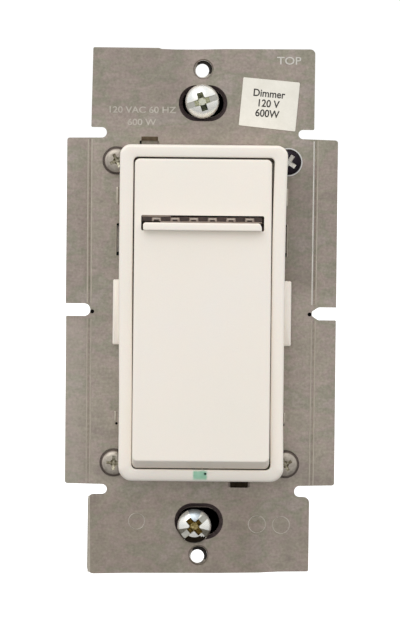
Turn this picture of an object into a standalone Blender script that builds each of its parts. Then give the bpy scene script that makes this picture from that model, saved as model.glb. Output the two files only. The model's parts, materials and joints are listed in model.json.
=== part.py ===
"""Preset dimmer switch for a rectangular wall plate, modelled piece by piece.

A metal strap carries a black back housing behind it and a clip-on front frame, a hinged push pad
and a rocking dim bar in front of it. All lengths below are millimetres and MM turns them into
metres. +X is the viewer's right, +Z is up, +Y points into the wall, and the origin is the centre
of the strap's rear face.
"""
import math

import bmesh
import bpy
from mathutils import Matrix, Vector

MM = 0.001
WELD = 1e-4
GAP = 0.3
FINE_GAP = 0.1

# Strap
STRAP_FRONT = -1.6
STRAP_TOP = 52.6
STRAP_BOTTOM = -52.35
STRAP_HALF_WIDTH = 22.1
STRAP_CORNER = 1.0
WING_HALF_WIDTH = 26.95
WING_TOP = 34.6
WING_CHAMFER = 0.7
NOTCH_HEIGHT = 1.95
NOTCH_END = 18.8
SIDE_NOTCH_HALF = 1.32
SIDE_NOTCH_END = 22.0
SCORE_X = 22.3
SCORE_WIDTH = 0.6
SCORE_DEPTH = 0.5
BOX_SCREW_Z = 41.67
PLATE_SCREW_Z = 48.42
PLATE_HOLE_R = 1.55
SLOT_SIZE = (8.2, 5.6)
SLOT_RIM = (9.7, 7.2)
COIN_DEPTH = 0.55
PLATE_FUNNEL = (2.05, 1.35, 0.75)
DIMPLE = (2.8, 0.5)
SCREW_HOLE_R = 1.7
RELIEF_HOLE = (21.75, 0.5)
HOOK_SLOT_X = (14.65, 16.85)
HOOK_SLOT_Z = (11.3, 17.7)
UPPER_KEY = ((-12.7, -8.6), (31.5, 34.1))
LOWER_KEY = ((6.3, 9.7), (-35.0, -31.5))
DISPLAY_WINDOW = ((-12.5, 12.5), (16.0, 19.8))
LOCATOR_WINDOW = ((-1.9, 1.9), (-33.2, -30.6))
PLUNGER_HOLE_R = 2.3

# Front frame
FRAME_SIZE = (33.0, 66.8)
OPENING_HALF_X = 13.9
OPENING_Z = (-31.0, 31.0)
FRAME_CAVITY = (30.2, 64.2)
FRAME_FACE = -8.6
FRAME_BACK = STRAP_FRONT - GAP
FRAME_LIP = 1.5
FRAME_CORNER = 2.2
OPENING_CORNER = 0.95
CAVITY_CORNER = 1.0
TAB_X = (15.6, 17.75)
TAB_HALF = 6.4
TAB_FRONT = -4.5
HOOK_OUTLINE = ((15.2, -3.0), (16.3, -3.0), (16.3, 0.4), (17.2, 0.4), (16.3, 1.9), (15.2, 1.9))
HOOK_Z = (11.9, 17.1)
PEG_Y = (-3.0, 0.0)
UPPER_PEG = ((-12.3, -9.0), (32.0, 33.1))
LOWER_PEG = ((6.7, 9.3), (-33.1, -32.0))
SCREW_ROOM = (3.2, -4.0)
LOCATOR_Z = -32.15
LOCATOR_LENS = (2.6, 0.75)
PINHOLE = (1.05, 0.2, 0.24)

# Push pad, a tray that leans forward towards its lower edge
PAD_HALF_X = 13.6
PAD_Z = (-30.75, 30.65)
PAD_FACE_TOP = -8.6
PAD_FACE_BOTTOM = -11.0
PAD_SLOPE_HEIGHT = 1.4
PAD_SLOPE_BACK = -8.2
PAD_BACK = -5.0
PAD_WALL = 1.4
PAD_SLOT_X = 12.3
PAD_SLOT_Z = (16.3, 19.45)
PAD_HINGE = (0.0, -5.2, 27.0)
HINGE_PIN_R = 0.75
PIN_PLAY = 0.2
PIN_HALVES = (8.2, 12.5)
PAD_EAR_X = (10.4, 12.8)
PAD_EAR_Y = (-7.8, -3.9)
PAD_EAR_HALF = 1.5
PAD_BORE_X = (7.0, 12.75)
PAD_CORNER = 0.7
PRESS_Z = -12.0
PRESS_PEG = (1.8, -4.7)
SPRING_Z = -22.0
SPRING_PEG = (1.6, -8.0)
SPRING_WIRE_R = 0.25
SPRING_COIL_R = 2.35
SPRING_TURNS = 5

# Dim bar, which rocks left and right about an upright pin
BAR_HALF = 11.8
BAR_Z = (16.5, 18.0)
BAR_FRONT = -11.05
BAR_BACK = -5.7
BAR_HINGE = (0.0, -5.0, 17.25)
BAR_PIN_R = 0.6
BAR_PIN_START = 13.4
BAR_FINGER_HALF = 0.8
BAR_FINGER_END = 0.6
BAR_STEM_HALF = 1.9
BAR_STEM_BACK = -3.9

# Level display: seven light channels behind six ribs
LEVEL_COUNT = 7
LEVEL_PITCH = 3.7
RIB_WIDTH = 1.75
GUIDE_HALF = 11.95
GUIDE_Z = (18.15, 19.1)
GUIDE_FRONT = -6.0
GUIDE_BACK = 2.2
GUIDE_SLIT = 0.5
GUIDE_WEB = 1.2
LED_Z = 18.62
LED_SIZE = (1.6, 0.8)
LED_FRONT = 2.7
LOCATOR_LED_SIZE = (1.6, 1.0)
LOCATOR_LED_FRONT = 2.3

# Carrier plate between strap and pad
CARRIER_HALF = (14.4, 30.2)
CARRIER_FRONT = -3.3
CARRIER_BACK = STRAP_FRONT - GAP
SHELF_FRONT = -7.2
CARRIER_POST = (12.5, 25.0)
CARRIER_POST_R = 1.2
CARRIER_POST_END = 1.4
SHELF_HALF = 12.1
SHELF_Z = (19.5, 20.7)
RIB_Z = (18.2, 19.9)
BAR_BEARING = ((-2.0, 2.0), (12.9, 16.25))
BAR_BEARING_FRONT = -6.4
CARRIER_EAR_X = (8.0, 10.1)
CARRIER_EAR_R = 1.5
SPRING_CUP = (3.7, 2.9, -4.6)
PLUNGER_BORE_R = 1.9
DISPLAY_HOLE = ((-12.2, 12.2), (17.95, 19.3))
FINGER_HOLE = ((-1.7, 1.7), (16.3, 18.3))

# Back housing and the boards in it
HOUSING_HALF = (21.75, 34.25)
HOUSING_FRONT = 0.3
HOUSING_BACK = 28.3
HOUSING_WALL = 1.6
HOUSING_CORNER = 1.6
HOUSING_ROOT = HOUSING_BACK - 1.2
BODY_SCREW = (17.1, 30.1)
POST_R = 3.2
POST_BORE = (1.5, 13.5)
CONTROL_BOARD_Y = (4.2, 5.6)
POWER_BOARD_Y = (20.0, 21.6)
TERMINALS = ((-1, 12.0), (-1, -12.0), (1, -12.0))
TERMINAL_Y = 13.0
TERMINAL_BLOCK = (14.8, 20.6, 5.4, 5.0)
TERMINAL_BAY = (16.6, 23.0, 4.4, 4.2)
WIRE_HOLE_R = 1.2
WIRE_HOLE_X = 18.1
WIRE_HOLE_OFFSET = 2.9
TERMINAL_OUTER = 20.9
TERMINAL_HEAD_R = 3.2
TERMINAL_SHANK = (1.5, 14.3)
CLAMP_X = (16.9, 17.9)
CLAMP_HALF = (4.0, 3.9)

# Ground bracket, an L of sheet brass behind the strap's lower end
GROUND_X = (9.0, 18.0)
GROUND_OUTLINE = ((-47.5, 0.2), (-39.2, 0.2), (-39.2, 9.0), (-40.2, 9.0), (-40.2, 1.1), (-47.5, 1.1))
GROUND_SCREW = (13.5, 5.2)


# Switches on the control board
SWITCH_FRONT = 1.0
POWER_SWITCH_SIZE = (6.2, 6.2)
PLUNGER_R = 1.5
PLUNGER_Y = (-4.3, 2.2)
DIM_SWITCH_BODY = ((-4.5, 4.5), (13.0, 18.0))
DIM_SWITCH_ROOM = ((-3.6, 3.6), (1.5, 3.5), (13.4, 17.7))
DIM_SWITCH_WINDOW = ((-2.7, 2.7), (16.1, 17.65))
SLIDER_Z = (16.4, 17.4)
SLIDER_Y = (-0.8, 1.8, 3.2)
SLIDER_X = (1.1, 2.2, 3.0)

# Box screws: (x, z) and the driver slot's angle
BOX_SCREWS = {"top": ((-0.2, 42.0), 18), "bottom": ((-0.9, -42.6), 45)}
BOX_SCREW_HEAD = (3.375, 2.3)
BOX_SCREW_SHANK_R = 1.6
BOX_SCREW_TIP = 23.0
WASHER_SIZE = (13.0, 9.4)
WASHER_Y = (0.2, 0.95)
BODY_SCREW_HEAD = (2.5, 1.9)
BODY_SCREW_SEAT = -1.3
BODY_SCREW_SHANK_R = 1.25
BODY_SCREW_TIP = 12.0

# Labels
RATING_LABEL = (24.0, 34.0)
STRAP_LABEL = (11.4, 9.9)
STRAP_LABEL_CENTRE = (13.35, 41.4)
STRAP_LABEL_TURN = -4.6

SHADE_ANGLE = math.radians(35)
ROUND = 24
SMALL_ROUND = 16

# name: (sRGB colour 0-255, roughness, metallic)
MATERIALS = {
    "strap_metal": ((150, 142, 132), 0.42, 1.0),
    "ivory_plastic": ((240, 233, 222), 0.38, 0.0),
    "pad_plastic": ((240, 233, 223), 0.36, 0.0),
    "bar_plastic": ((243, 235, 223), 0.36, 0.0),
    "carrier_plastic": ((222, 214, 202), 0.5, 0.0),
    "smoked_lens": ((96, 78, 66), 0.25, 0.0),
    "green_lens": ((126, 186, 156), 0.3, 0.0),
    "black_plastic": ((24, 23, 22), 0.55, 0.0),
    "fibre_black": ((30, 27, 24), 0.8, 0.0),
    "zinc_steel": ((196, 194, 188), 0.28, 1.0),
    "dark_steel": ((70, 66, 62), 0.4, 1.0),
    "spring_steel": ((168, 166, 160), 0.3, 1.0),
    "brass": ((196, 160, 92), 0.32, 1.0),
    "ground_green": ((44, 120, 70), 0.45, 0.3),
    "board_green": ((34, 88, 52), 0.5, 0.0),
    "component_black": ((28, 28, 30), 0.5, 0.0),
    "led_clear": ((226, 226, 214), 0.3, 0.0),
    "copper": ((184, 104, 62), 0.35, 1.0),
    "ferrite": ((66, 84, 66), 0.7, 0.0),
    "film_red": ((132, 44, 34), 0.45, 0.0),
    "varistor_blue": ((40, 72, 132), 0.5, 0.0),
    "fuse_tan": ((186, 170, 140), 0.45, 0.0),
    "pad_grey": ((150, 150, 152), 0.8, 0.0),
    "label_paper": ((226, 222, 212), 0.7, 0.0),
}


# ---------------------------------------------------------------- helpers

def clear_scene():
    for item in list(bpy.data.objects):
        bpy.data.objects.remove(item, do_unlink=True)


def linear(channel):
    """One sRGB channel, 0 to 255, as scene-linear light."""
    part = channel / 255
    if part <= 0.04045:
        return part / 12.92
    return ((part + 0.055) / 1.055) ** 2.4


def material(name):
    found = bpy.data.materials.get(name)
    if found:
        return found
    colour, roughness, metallic = MATERIALS[name]
    made = bpy.data.materials.new(name)
    made.use_nodes = True
    shader = made.node_tree.nodes["Principled BSDF"]
    shader.inputs["Base Color"].default_value = (*[linear(c) for c in colour], 1)
    shader.inputs["Roughness"].default_value = roughness
    shader.inputs["Metallic"].default_value = metallic
    return made


def spread(axis, across, up, along):
    """Point from two in-plane values and the value along the named axis."""
    if axis == "X":
        return Vector((along, across, up))
    if axis == "Y":
        return Vector((across, along, up))
    return Vector((across, up, along))


def add_loft(bm, rings):
    """Closed body through rings of equal point counts, capped at both ends."""
    loops = [[bm.verts.new(spot) for spot in ring] for ring in rings]
    for lower, upper in zip(loops, loops[1:]):
        for i in range(len(lower)):
            j = (i + 1) % len(lower)
            bm.faces.new((lower[i], lower[j], upper[j], upper[i]))
    bm.faces.new(loops[0])
    bm.faces.new(loops[-1])


def add_prism(bm, outline, axis, low, high):
    rings = [[spread(axis, u, v, along) for u, v in outline] for along in (low, high)]
    add_loft(bm, rings)


def add_box(bm, xs, ys, zs):
    middle = [(low + high) / 2 for low, high in (xs, ys, zs)]
    size = [high - low for low, high in (xs, ys, zs)]
    matrix = Matrix.Translation(middle) @ Matrix.Diagonal((*size, 1))
    bmesh.ops.create_cube(bm, size=1, matrix=matrix)


def add_turned(bm, profile, axis, centre, steps=ROUND):
    """Solid of revolution. The profile lists (radius, height along the axis) from one end to the
    other and starts and ends on the axis; centre gives the other two coordinates."""
    direction = spread(axis, 0, 0, 1)
    base = spread(axis, centre[0], centre[1], 0)
    side = spread(axis, 1, 0, 0)
    spots = [bm.verts.new(base + side * r + direction * h) for r, h in profile]
    edges = [bm.edges.new(pair) for pair in zip(spots, spots[1:])]
    bmesh.ops.spin(bm, geom=spots + edges, cent=base, axis=direction, dvec=(0, 0, 0),
                   angle=math.tau, steps=steps, use_merge=True)
    bmesh.ops.remove_doubles(bm, verts=bm.verts, dist=WELD)


def add_rod(bm, radius, axis, centre, low, high, steps=ROUND):
    add_turned(bm, [(0, low), (radius, low), (radius, high), (0, high)], axis, centre, steps)


def arc(centre, radius, start, end, steps):
    """Points on a circle's arc, angles in degrees."""
    points = []
    for i in range(steps + 1):
        angle = math.radians(start + (end - start) * i / steps)
        points.append((centre[0] + radius * math.cos(angle), centre[1] + radius * math.sin(angle)))
    return points


def rounded(size, radius, steps=4, centre=(0, 0)):
    """Outline of a rounded rectangle."""
    half_u = size[0] / 2 - radius
    half_v = size[1] / 2 - radius
    outline = []
    for turn, (su, sv) in enumerate(((1, 1), (-1, 1), (-1, -1), (1, -1))):
        corner = (centre[0] + su * half_u, centre[1] + sv * half_v)
        outline += arc(corner, radius, 90 * turn, 90 * turn + 90, steps)
    return outline


def add_plaque(bm, size, radius, rings, steps=4, centre=(0, 0)):
    """Rounded block facing -Y. Each ring is (y, inset), from back to front."""
    lofted = []
    for y, inset in rings:
        inner = (size[0] - 2 * inset, size[1] - 2 * inset)
        outline = rounded(inner, max(radius - inset, 0.05), steps, centre)
        lofted.append([Vector((x, y, z)) for x, z in outline])
    add_loft(bm, lofted)


def eased(front, ease, steps=3):
    """Rings that round a front edge over the given radius."""
    rings = []
    for i in range(steps + 1):
        angle = math.pi / 2 * i / steps
        rings.append((front + ease * (1 - math.sin(angle)), ease * (1 - math.cos(angle))))
    return rings


def place(name, bm, finish, pivot=(0, 0, 0), parent=None):
    """Make an object from a closed bmesh in world millimetres, with its origin at pivot."""
    bmesh.ops.remove_doubles(bm, verts=bm.verts, dist=WELD)
    bmesh.ops.recalc_face_normals(bm, faces=bm.faces)
    bmesh.ops.translate(bm, verts=bm.verts, vec=-Vector(pivot))
    bmesh.ops.scale(bm, verts=bm.verts, vec=(MM, MM, MM))
    mesh = bpy.data.meshes.new(name)
    bm.to_mesh(mesh)
    bm.free()
    mesh.shade_smooth()
    mesh.set_sharp_from_angle(angle=SHADE_ANGLE)
    mesh.materials.append(material(finish))
    item = bpy.data.objects.new(name, mesh)
    item.location = Vector(pivot) * MM
    bpy.context.scene.collection.objects.link(item)
    if parent:
        item.parent = parent
        item.location = Vector(pivot) * MM - parent.location
    return item


def shape(target, operation, bm):
    """Cut a tool body out of a piece, or join it on, with a Boolean modifier."""
    tool = place(f"{target.name}_{operation.lower()}", bm, "component_black")
    tool.hide_render = True
    tool.display_type = "WIRE"
    step = target.modifiers.new(tool.name, "BOOLEAN")
    step.operation = operation
    step.solver = "EXACT"
    step.object = tool


def cut(target, bm):
    shape(target, "DIFFERENCE", bm)


def join(target, bm):
    shape(target, "UNION", bm)


def pivot_empty(name, spot):
    """Empty on a joint's axis."""
    made = bpy.data.objects.new(name, None)
    made.location = Vector(spot) * MM
    bpy.context.scene.collection.objects.link(made)
    return made


# ---------------------------------------------------------------- strap

def strap_quarter(end):
    """Outline of a quarter of the strap, from its end edge to the middle of the right side."""
    notch_r = NOTCH_HEIGHT / 2
    points = arc((STRAP_HALF_WIDTH - STRAP_CORNER, end - STRAP_CORNER), STRAP_CORNER, 90, 0, 4)
    notch_middle = (NOTCH_END + notch_r, WING_TOP + notch_r)
    points.append((STRAP_HALF_WIDTH, WING_TOP + NOTCH_HEIGHT))
    points += arc(notch_middle, notch_r, 90, 270, 6)
    points.append((WING_HALF_WIDTH - WING_CHAMFER, WING_TOP))
    points.append((WING_HALF_WIDTH, WING_TOP - WING_CHAMFER))
    points.append((WING_HALF_WIDTH, SIDE_NOTCH_HALF))
    points.append((SIDE_NOTCH_END + SIDE_NOTCH_HALF * 0.7, SIDE_NOTCH_HALF))
    points.append((SIDE_NOTCH_END, SIDE_NOTCH_HALF * 0.15))
    return points


def strap_outline():
    upper = strap_quarter(STRAP_TOP)
    lower = strap_quarter(-STRAP_BOTTOM)
    right_lower = [(x, -z) for x, z in reversed(lower)]
    left_lower = [(-x, -z) for x, z in lower]
    left_upper = [(-x, z) for x, z in reversed(upper)]
    return upper + right_lower + left_lower + left_upper


def mounting_strap():
    bm = bmesh.new()
    add_prism(bm, strap_outline(), "Y", STRAP_FRONT, 0)
    strap = place("mounting_strap", bm, "strap_metal")
    through = (STRAP_FRONT - 1, 1)

    bm = bmesh.new()
    for side in (1, -1):
        slot = rounded(SLOT_SIZE, SLOT_SIZE[1] / 2 - 0.01, 6, (0, side * BOX_SCREW_Z))
        add_prism(bm, slot, "Y", *through)
        add_rod(bm, PLATE_HOLE_R, "Y", (0, side * PLATE_SCREW_Z), *through)
        for wall in (1, -1):
            add_rod(bm, SCREW_HOLE_R, "Y", (wall * BODY_SCREW[0], side * BODY_SCREW[1]), *through,
                    SMALL_ROUND)
            add_rod(bm, CARRIER_POST_R + GAP, "Y", (wall * CARRIER_POST[0], side * CARRIER_POST[1]),
                    *through, SMALL_ROUND)
        add_box(bm, sorted(side * x for x in HOOK_SLOT_X), through, HOOK_SLOT_Z)
        add_rod(bm, RELIEF_HOLE[1], "Y", (side * RELIEF_HOLE[0], 0), *through, SMALL_ROUND)
    for xs, zs in (UPPER_KEY, LOWER_KEY, DISPLAY_WINDOW, LOCATOR_WINDOW):
        add_box(bm, xs, through, zs)
    add_rod(bm, PLUNGER_HOLE_R, "Y", (0, PRESS_Z), *through)
    cut(strap, bm)

    above = STRAP_FRONT - 0.1
    bm = bmesh.new()
    for side in (1, -1):
        middle = (0, side * BOX_SCREW_Z)
        add_plaque(bm, SLOT_RIM, SLOT_RIM[1] / 2 - 0.01,
                   [(STRAP_FRONT + COIN_DEPTH, COIN_DEPTH), (above, 0)], 6, middle)
        mouth_r, throat_r, depth = PLATE_FUNNEL
        add_turned(bm, [(0, above), (mouth_r, above), (throat_r, STRAP_FRONT + depth),
                        (0, STRAP_FRONT + depth)], "Y", (0, side * PLATE_SCREW_Z))
        for wall in (1, -1):
            add_rod(bm, DIMPLE[0], "Y", (wall * BODY_SCREW[0], side * BODY_SCREW[1]),
                    above, STRAP_FRONT + DIMPLE[1])
        for part in (1, -1):
            low, high = sorted((part * (SIDE_NOTCH_HALF + GAP), part * (WING_TOP + 0.5)))
            add_box(bm, (side * SCORE_X - SCORE_WIDTH / 2, side * SCORE_X + SCORE_WIDTH / 2),
                    (above, STRAP_FRONT + SCORE_DEPTH), (low, high))
    cut(strap, bm)


# ---------------------------------------------------------------- front frame

def front_frame():
    bm = bmesh.new()
    add_plaque(bm, FRAME_SIZE, FRAME_CORNER, [(FRAME_BACK, 0)] + eased(FRAME_FACE, 0.5), 5)
    frame = place("front_frame", bm, "ivory_plastic")

    bm = bmesh.new()
    add_plaque(bm, FRAME_CAVITY, CAVITY_CORNER, [(FRAME_BACK + 1, 0), (FRAME_FACE + FRAME_LIP, 0)])
    cut(frame, bm)

    bm = bmesh.new()
    opening = (2 * OPENING_HALF_X, OPENING_Z[1] - OPENING_Z[0])
    add_plaque(bm, opening, OPENING_CORNER,
               [(FRAME_BACK + 2, 0), (FRAME_FACE + 0.3, 0), (FRAME_FACE - 0.1, -0.4)], 4,
               (0, sum(OPENING_Z) / 2))
    cut(frame, bm)

    bm = bmesh.new()
    tab_rings = [(FRAME_BACK, 0), (TAB_FRONT + 0.3, 0), (TAB_FRONT, 0.25)]
    for side in (1, -1):
        add_plaque(bm, (TAB_X[1] - TAB_X[0], 2 * TAB_HALF), 0.4, tab_rings, 2,
                   (side * sum(TAB_X) / 2, 0))
        add_prism(bm, [(side * x, y) for x, y in HOOK_OUTLINE], "Z", *HOOK_Z)
    for xs, zs in (UPPER_PEG, LOWER_PEG):
        add_box(bm, xs, PEG_Y, zs)
    join(frame, bm)

    bm = bmesh.new()
    for side in (1, -1):
        for wall in (1, -1):
            add_rod(bm, SCREW_ROOM[0], "Y", (wall * BODY_SCREW[0], side * BODY_SCREW[1]),
                    SCREW_ROOM[1], 0, SMALL_ROUND)
    half_lens = LOCATOR_LENS[0] / 2 + 0.2
    add_box(bm, (-half_lens, half_lens), (FRAME_FACE + 0.4, 0), (LOCATOR_Z - 0.9, LOCATOR_Z + 1.5))
    cut(frame, bm)

    bm = bmesh.new()
    across, up, pin_r = PINHOLE
    add_rod(bm, pin_r, "Y", (across, LOCATOR_Z + up), FRAME_FACE - 0.5, FRAME_FACE + 0.8, 10)
    cut(frame, bm)


def locator_lens():
    bm = bmesh.new()
    rings = [(1.8, 0), (FRAME_FACE + 0.9, 0), (FRAME_FACE + 0.65, 0.15)]
    add_plaque(bm, LOCATOR_LENS, 0.2, rings, 2, (0, LOCATOR_Z))
    place("locator_lens", bm, "green_lens")


# ---------------------------------------------------------------- push pad

def pad_face_y(z, inset=0.0):
    """Depth of the pad's leaning front face at height z."""
    lean = (PAD_FACE_BOTTOM - PAD_FACE_TOP) / (PAD_Z[1] - PAD_Z[0])
    return PAD_FACE_TOP + (PAD_Z[1] - z) * lean + inset


def add_pad_body(bm, inset, back, ease):
    """Leaning tray block: flat back, front face leaning forward and a sloped lower edge."""
    size = (2 * (PAD_HALF_X - inset), PAD_Z[1] - PAD_Z[0] - 2 * inset)
    middle = (0, sum(PAD_Z) / 2)
    lofted = []
    for y in (back, PAD_SLOPE_BACK + 0.9 * inset):
        lofted.append([Vector((x, y, z)) for x, z in rounded(size, PAD_CORNER, 3, middle)])
    for forward, edge in eased(0, ease, 2):
        ring = []
        inner = (size[0] - 2 * edge, size[1] - 2 * edge)
        for x, z in rounded(inner, max(PAD_CORNER - edge, 0.1), 3, middle):
            spot = z + PAD_SLOPE_HEIGHT if z < 0 else z
            ring.append(Vector((x, pad_face_y(spot, inset) + forward, spot)))
        lofted.append(ring)
    add_loft(bm, lofted)


def push_pad(hinge):
    bm = bmesh.new()
    add_pad_body(bm, 0, PAD_BACK, 0.35)
    pad = place("push_pad", bm, "pad_plastic", PAD_HINGE, hinge)

    bm = bmesh.new()
    add_pad_body(bm, PAD_WALL, PAD_BACK + 1, 0.1)
    cut(pad, bm)

    bm = bmesh.new()
    for side in (1, -1):
        add_box(bm, sorted(side * x for x in PAD_EAR_X), PAD_EAR_Y,
                (PAD_HINGE[2] - PAD_EAR_HALF, PAD_HINGE[2] + PAD_EAR_HALF))
    for z, (radius, end) in ((PRESS_Z, PRESS_PEG), (SPRING_Z, SPRING_PEG)):
        add_rod(bm, radius, "Y", (0, z), pad_face_y(z, PAD_WALL / 2), end, SMALL_ROUND)
    join(pad, bm)

    bm = bmesh.new()
    slot = rounded((2 * PAD_SLOT_X, PAD_SLOT_Z[1] - PAD_SLOT_Z[0]), 0.5, 3,
                   (0, sum(PAD_SLOT_Z) / 2))
    add_prism(bm, slot, "Y", -14, -6)
    for side in (1, -1):
        add_rod(bm, HINGE_PIN_R + PIN_PLAY, "X", PAD_HINGE[1:],
                *sorted(side * x for x in PAD_BORE_X), SMALL_ROUND)
    cut(pad, bm)


def hinge_pins():
    for name, side in (("pad_hinge_pin_left", -1), ("pad_hinge_pin_right", 1)):
        bm = bmesh.new()
        low, high = sorted(side * x for x in PIN_HALVES)
        ends = [(0, low), (HINGE_PIN_R - 0.15, low), (HINGE_PIN_R, low + 0.15),
                (HINGE_PIN_R, high - 0.15), (HINGE_PIN_R - 0.15, high), (0, high)]
        add_turned(bm, ends, "X", PAD_HINGE[1:], SMALL_ROUND)
        place(name, bm, "zinc_steel")


def pad_spring():
    """Compression coil between the carrier's cup and the pad's peg."""
    per_turn = 12
    first = CARRIER_FRONT - FINE_GAP - SPRING_WIRE_R
    last = pad_face_y(SPRING_Z, PAD_WALL) + 0.25 + SPRING_WIRE_R
    count = SPRING_TURNS * per_turn
    curve = bpy.data.curves.new("pad_spring", "CURVE")
    curve.dimensions = "3D"
    curve.bevel_depth = SPRING_WIRE_R * MM
    curve.bevel_resolution = 1
    curve.use_fill_caps = True
    spline = curve.splines.new("POLY")
    spline.points.add(count)
    for i in range(count + 1):
        angle = math.tau * i / per_turn
        spot = Vector((SPRING_COIL_R * math.cos(angle), first + (last - first) * i / count,
                       SPRING_Z + SPRING_COIL_R * math.sin(angle))) * MM
        spline.points[i].co = (*spot, 1)
    curve.materials.append(material("spring_steel"))
    item = bpy.data.objects.new("pad_spring", curve)
    bpy.context.scene.collection.objects.link(item)


# ---------------------------------------------------------------- dim bar and level display

def dim_bar(hinge):
    height = BAR_Z[1] - BAR_Z[0]
    middle = sum(BAR_Z) / 2
    bm = bmesh.new()
    add_plaque(bm, (2 * BAR_HALF, height), 0.5, [(BAR_BACK, 0)] + eased(BAR_FRONT, 0.25, 2), 3,
               (0, middle))
    bar = place("dim_bar", bm, "bar_plastic", BAR_HINGE, hinge)

    half_stem = [(BAR_STEM_HALF, BAR_BACK - 0.6), (BAR_STEM_HALF, BAR_STEM_BACK - 0.5),
                 (BAR_STEM_HALF - 0.5, BAR_STEM_BACK), (BAR_FINGER_HALF, BAR_STEM_BACK),
                 (BAR_FINGER_HALF, BAR_FINGER_END)]
    stem = half_stem + [(-x, y) for x, y in reversed(half_stem)]
    bm = bmesh.new()
    add_prism(bm, stem, "Z", BAR_Z[0] + 0.02, BAR_Z[1] - 0.02)
    join(bar, bm)

    bm = bmesh.new()
    add_rod(bm, BAR_PIN_R + PIN_PLAY, "Z", BAR_HINGE[:2], BAR_Z[0] - 1, BAR_Z[1] + 1, SMALL_ROUND)
    cut(bar, bm)


def bar_pivot_pin():
    bm = bmesh.new()
    add_rod(bm, BAR_PIN_R, "Z", BAR_HINGE[:2], BAR_PIN_START, BAR_Z[1] - 0.05, SMALL_ROUND)
    place("bar_pivot_pin", bm, "zinc_steel")


def level_centres():
    return [(i - (LEVEL_COUNT - 1) / 2) * LEVEL_PITCH for i in range(LEVEL_COUNT)]


def light_guide():
    """Slab with slits from the rear that part it into one light channel per LED."""
    web_back = GUIDE_FRONT + GUIDE_WEB
    outline = [(-GUIDE_HALF, GUIDE_FRONT), (GUIDE_HALF, GUIDE_FRONT), (GUIDE_HALF, GUIDE_BACK)]
    for x in reversed(level_centres()[1:]):
        right = x - LEVEL_PITCH / 2 + GUIDE_SLIT / 2
        left = right - GUIDE_SLIT
        outline += [(right, GUIDE_BACK), (right, web_back), (left, web_back), (left, GUIDE_BACK)]
    outline.append((-GUIDE_HALF, GUIDE_BACK))
    bm = bmesh.new()
    add_prism(bm, outline, "Z", *GUIDE_Z)
    place("light_guide", bm, "smoked_lens")


def level_leds():
    seat = CONTROL_BOARD_Y[0] - FINE_GAP
    for number, x in enumerate(level_centres(), start=1):
        bm = bmesh.new()
        rings = [(seat, 0), (LED_FRONT + 0.25, 0), (LED_FRONT, 0.2)]
        add_plaque(bm, LED_SIZE, 0.12, rings, 1, (x, LED_Z))
        place(f"level_led_{number}", bm, "led_clear")
    bm = bmesh.new()
    rings = [(seat, 0), (LOCATOR_LED_FRONT + 0.3, 0), (LOCATOR_LED_FRONT, 0.2)]
    add_plaque(bm, LOCATOR_LED_SIZE, 0.12, rings, 1, (0, LOCATOR_Z + 0.35))
    place("locator_led", bm, "led_clear")


# ---------------------------------------------------------------- carrier

def carrier():
    half_x, half_z = CARRIER_HALF
    bm = bmesh.new()
    add_plaque(bm, (2 * half_x, 2 * half_z), 1.0, [(CARRIER_BACK, 0), (CARRIER_FRONT, 0)], 3)
    plate = place("carrier", bm, "carrier_plastic")

    root = CARRIER_FRONT + 0.4
    bm = bmesh.new()
    add_box(bm, (-SHELF_HALF, SHELF_HALF), (SHELF_FRONT, root), SHELF_Z)
    add_box(bm, BAR_BEARING[0], (BAR_BEARING_FRONT, root), BAR_BEARING[1])
    for side in (1, -1):
        ear = [(root, PAD_HINGE[2] - CARRIER_EAR_R - 0.1), (root, PAD_HINGE[2] + CARRIER_EAR_R + 0.1)]
        ear += arc(PAD_HINGE[1:], CARRIER_EAR_R, 60, 300, 6)
        add_prism(bm, ear, "X", *sorted(side * x for x in CARRIER_EAR_X))
        for level in (1, -1):
            post = [(0, CARRIER_BACK - 0.4), (CARRIER_POST_R, CARRIER_BACK - 0.4),
                    (CARRIER_POST_R, CARRIER_POST_END - 0.5),
                    (CARRIER_POST_R - 0.4, CARRIER_POST_END), (0, CARRIER_POST_END)]
            spot = (side * CARRIER_POST[0], level * CARRIER_POST[1])
            add_turned(bm, post, "Y", spot, SMALL_ROUND)
    cup_r, cup_bore_r, cup_front = SPRING_CUP
    add_rod(bm, cup_r, "Y", (0, SPRING_Z), cup_front, root)
    join(plate, bm)

    bm = bmesh.new()
    for x in level_centres()[1:]:
        edge = x - LEVEL_PITCH / 2
        add_box(bm, (edge - RIB_WIDTH / 2, edge + RIB_WIDTH / 2), (SHELF_FRONT + 0.1, GUIDE_FRONT - GAP),
                RIB_Z)
    join(plate, bm)

    through = cup_front - 0.4
    bm = bmesh.new()
    add_box(bm, DISPLAY_HOLE[0], (CARRIER_FRONT - 0.6, 0), DISPLAY_HOLE[1])
    add_rod(bm, PLUNGER_BORE_R, "Y", (0, PRESS_Z), through, 0, SMALL_ROUND)
    add_rod(bm, cup_bore_r, "Y", (0, SPRING_Z), through, CARRIER_FRONT, ROUND)
    add_rod(bm, BAR_PIN_R + PIN_PLAY, "Z", BAR_HINGE[:2], BAR_PIN_START - 0.2, 16.8, SMALL_ROUND)
    for side in (1, -1):
        add_rod(bm, HINGE_PIN_R + PIN_PLAY, "X", PAD_HINGE[1:], *sorted((side * 7, side * 11)),
                SMALL_ROUND)
    cut(plate, bm)

    bm = bmesh.new()
    add_box(bm, FINGER_HOLE[0], (CARRIER_FRONT - 0.5, 0), FINGER_HOLE[1])
    cut(plate, bm)


# ---------------------------------------------------------------- switches on the control board

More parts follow.
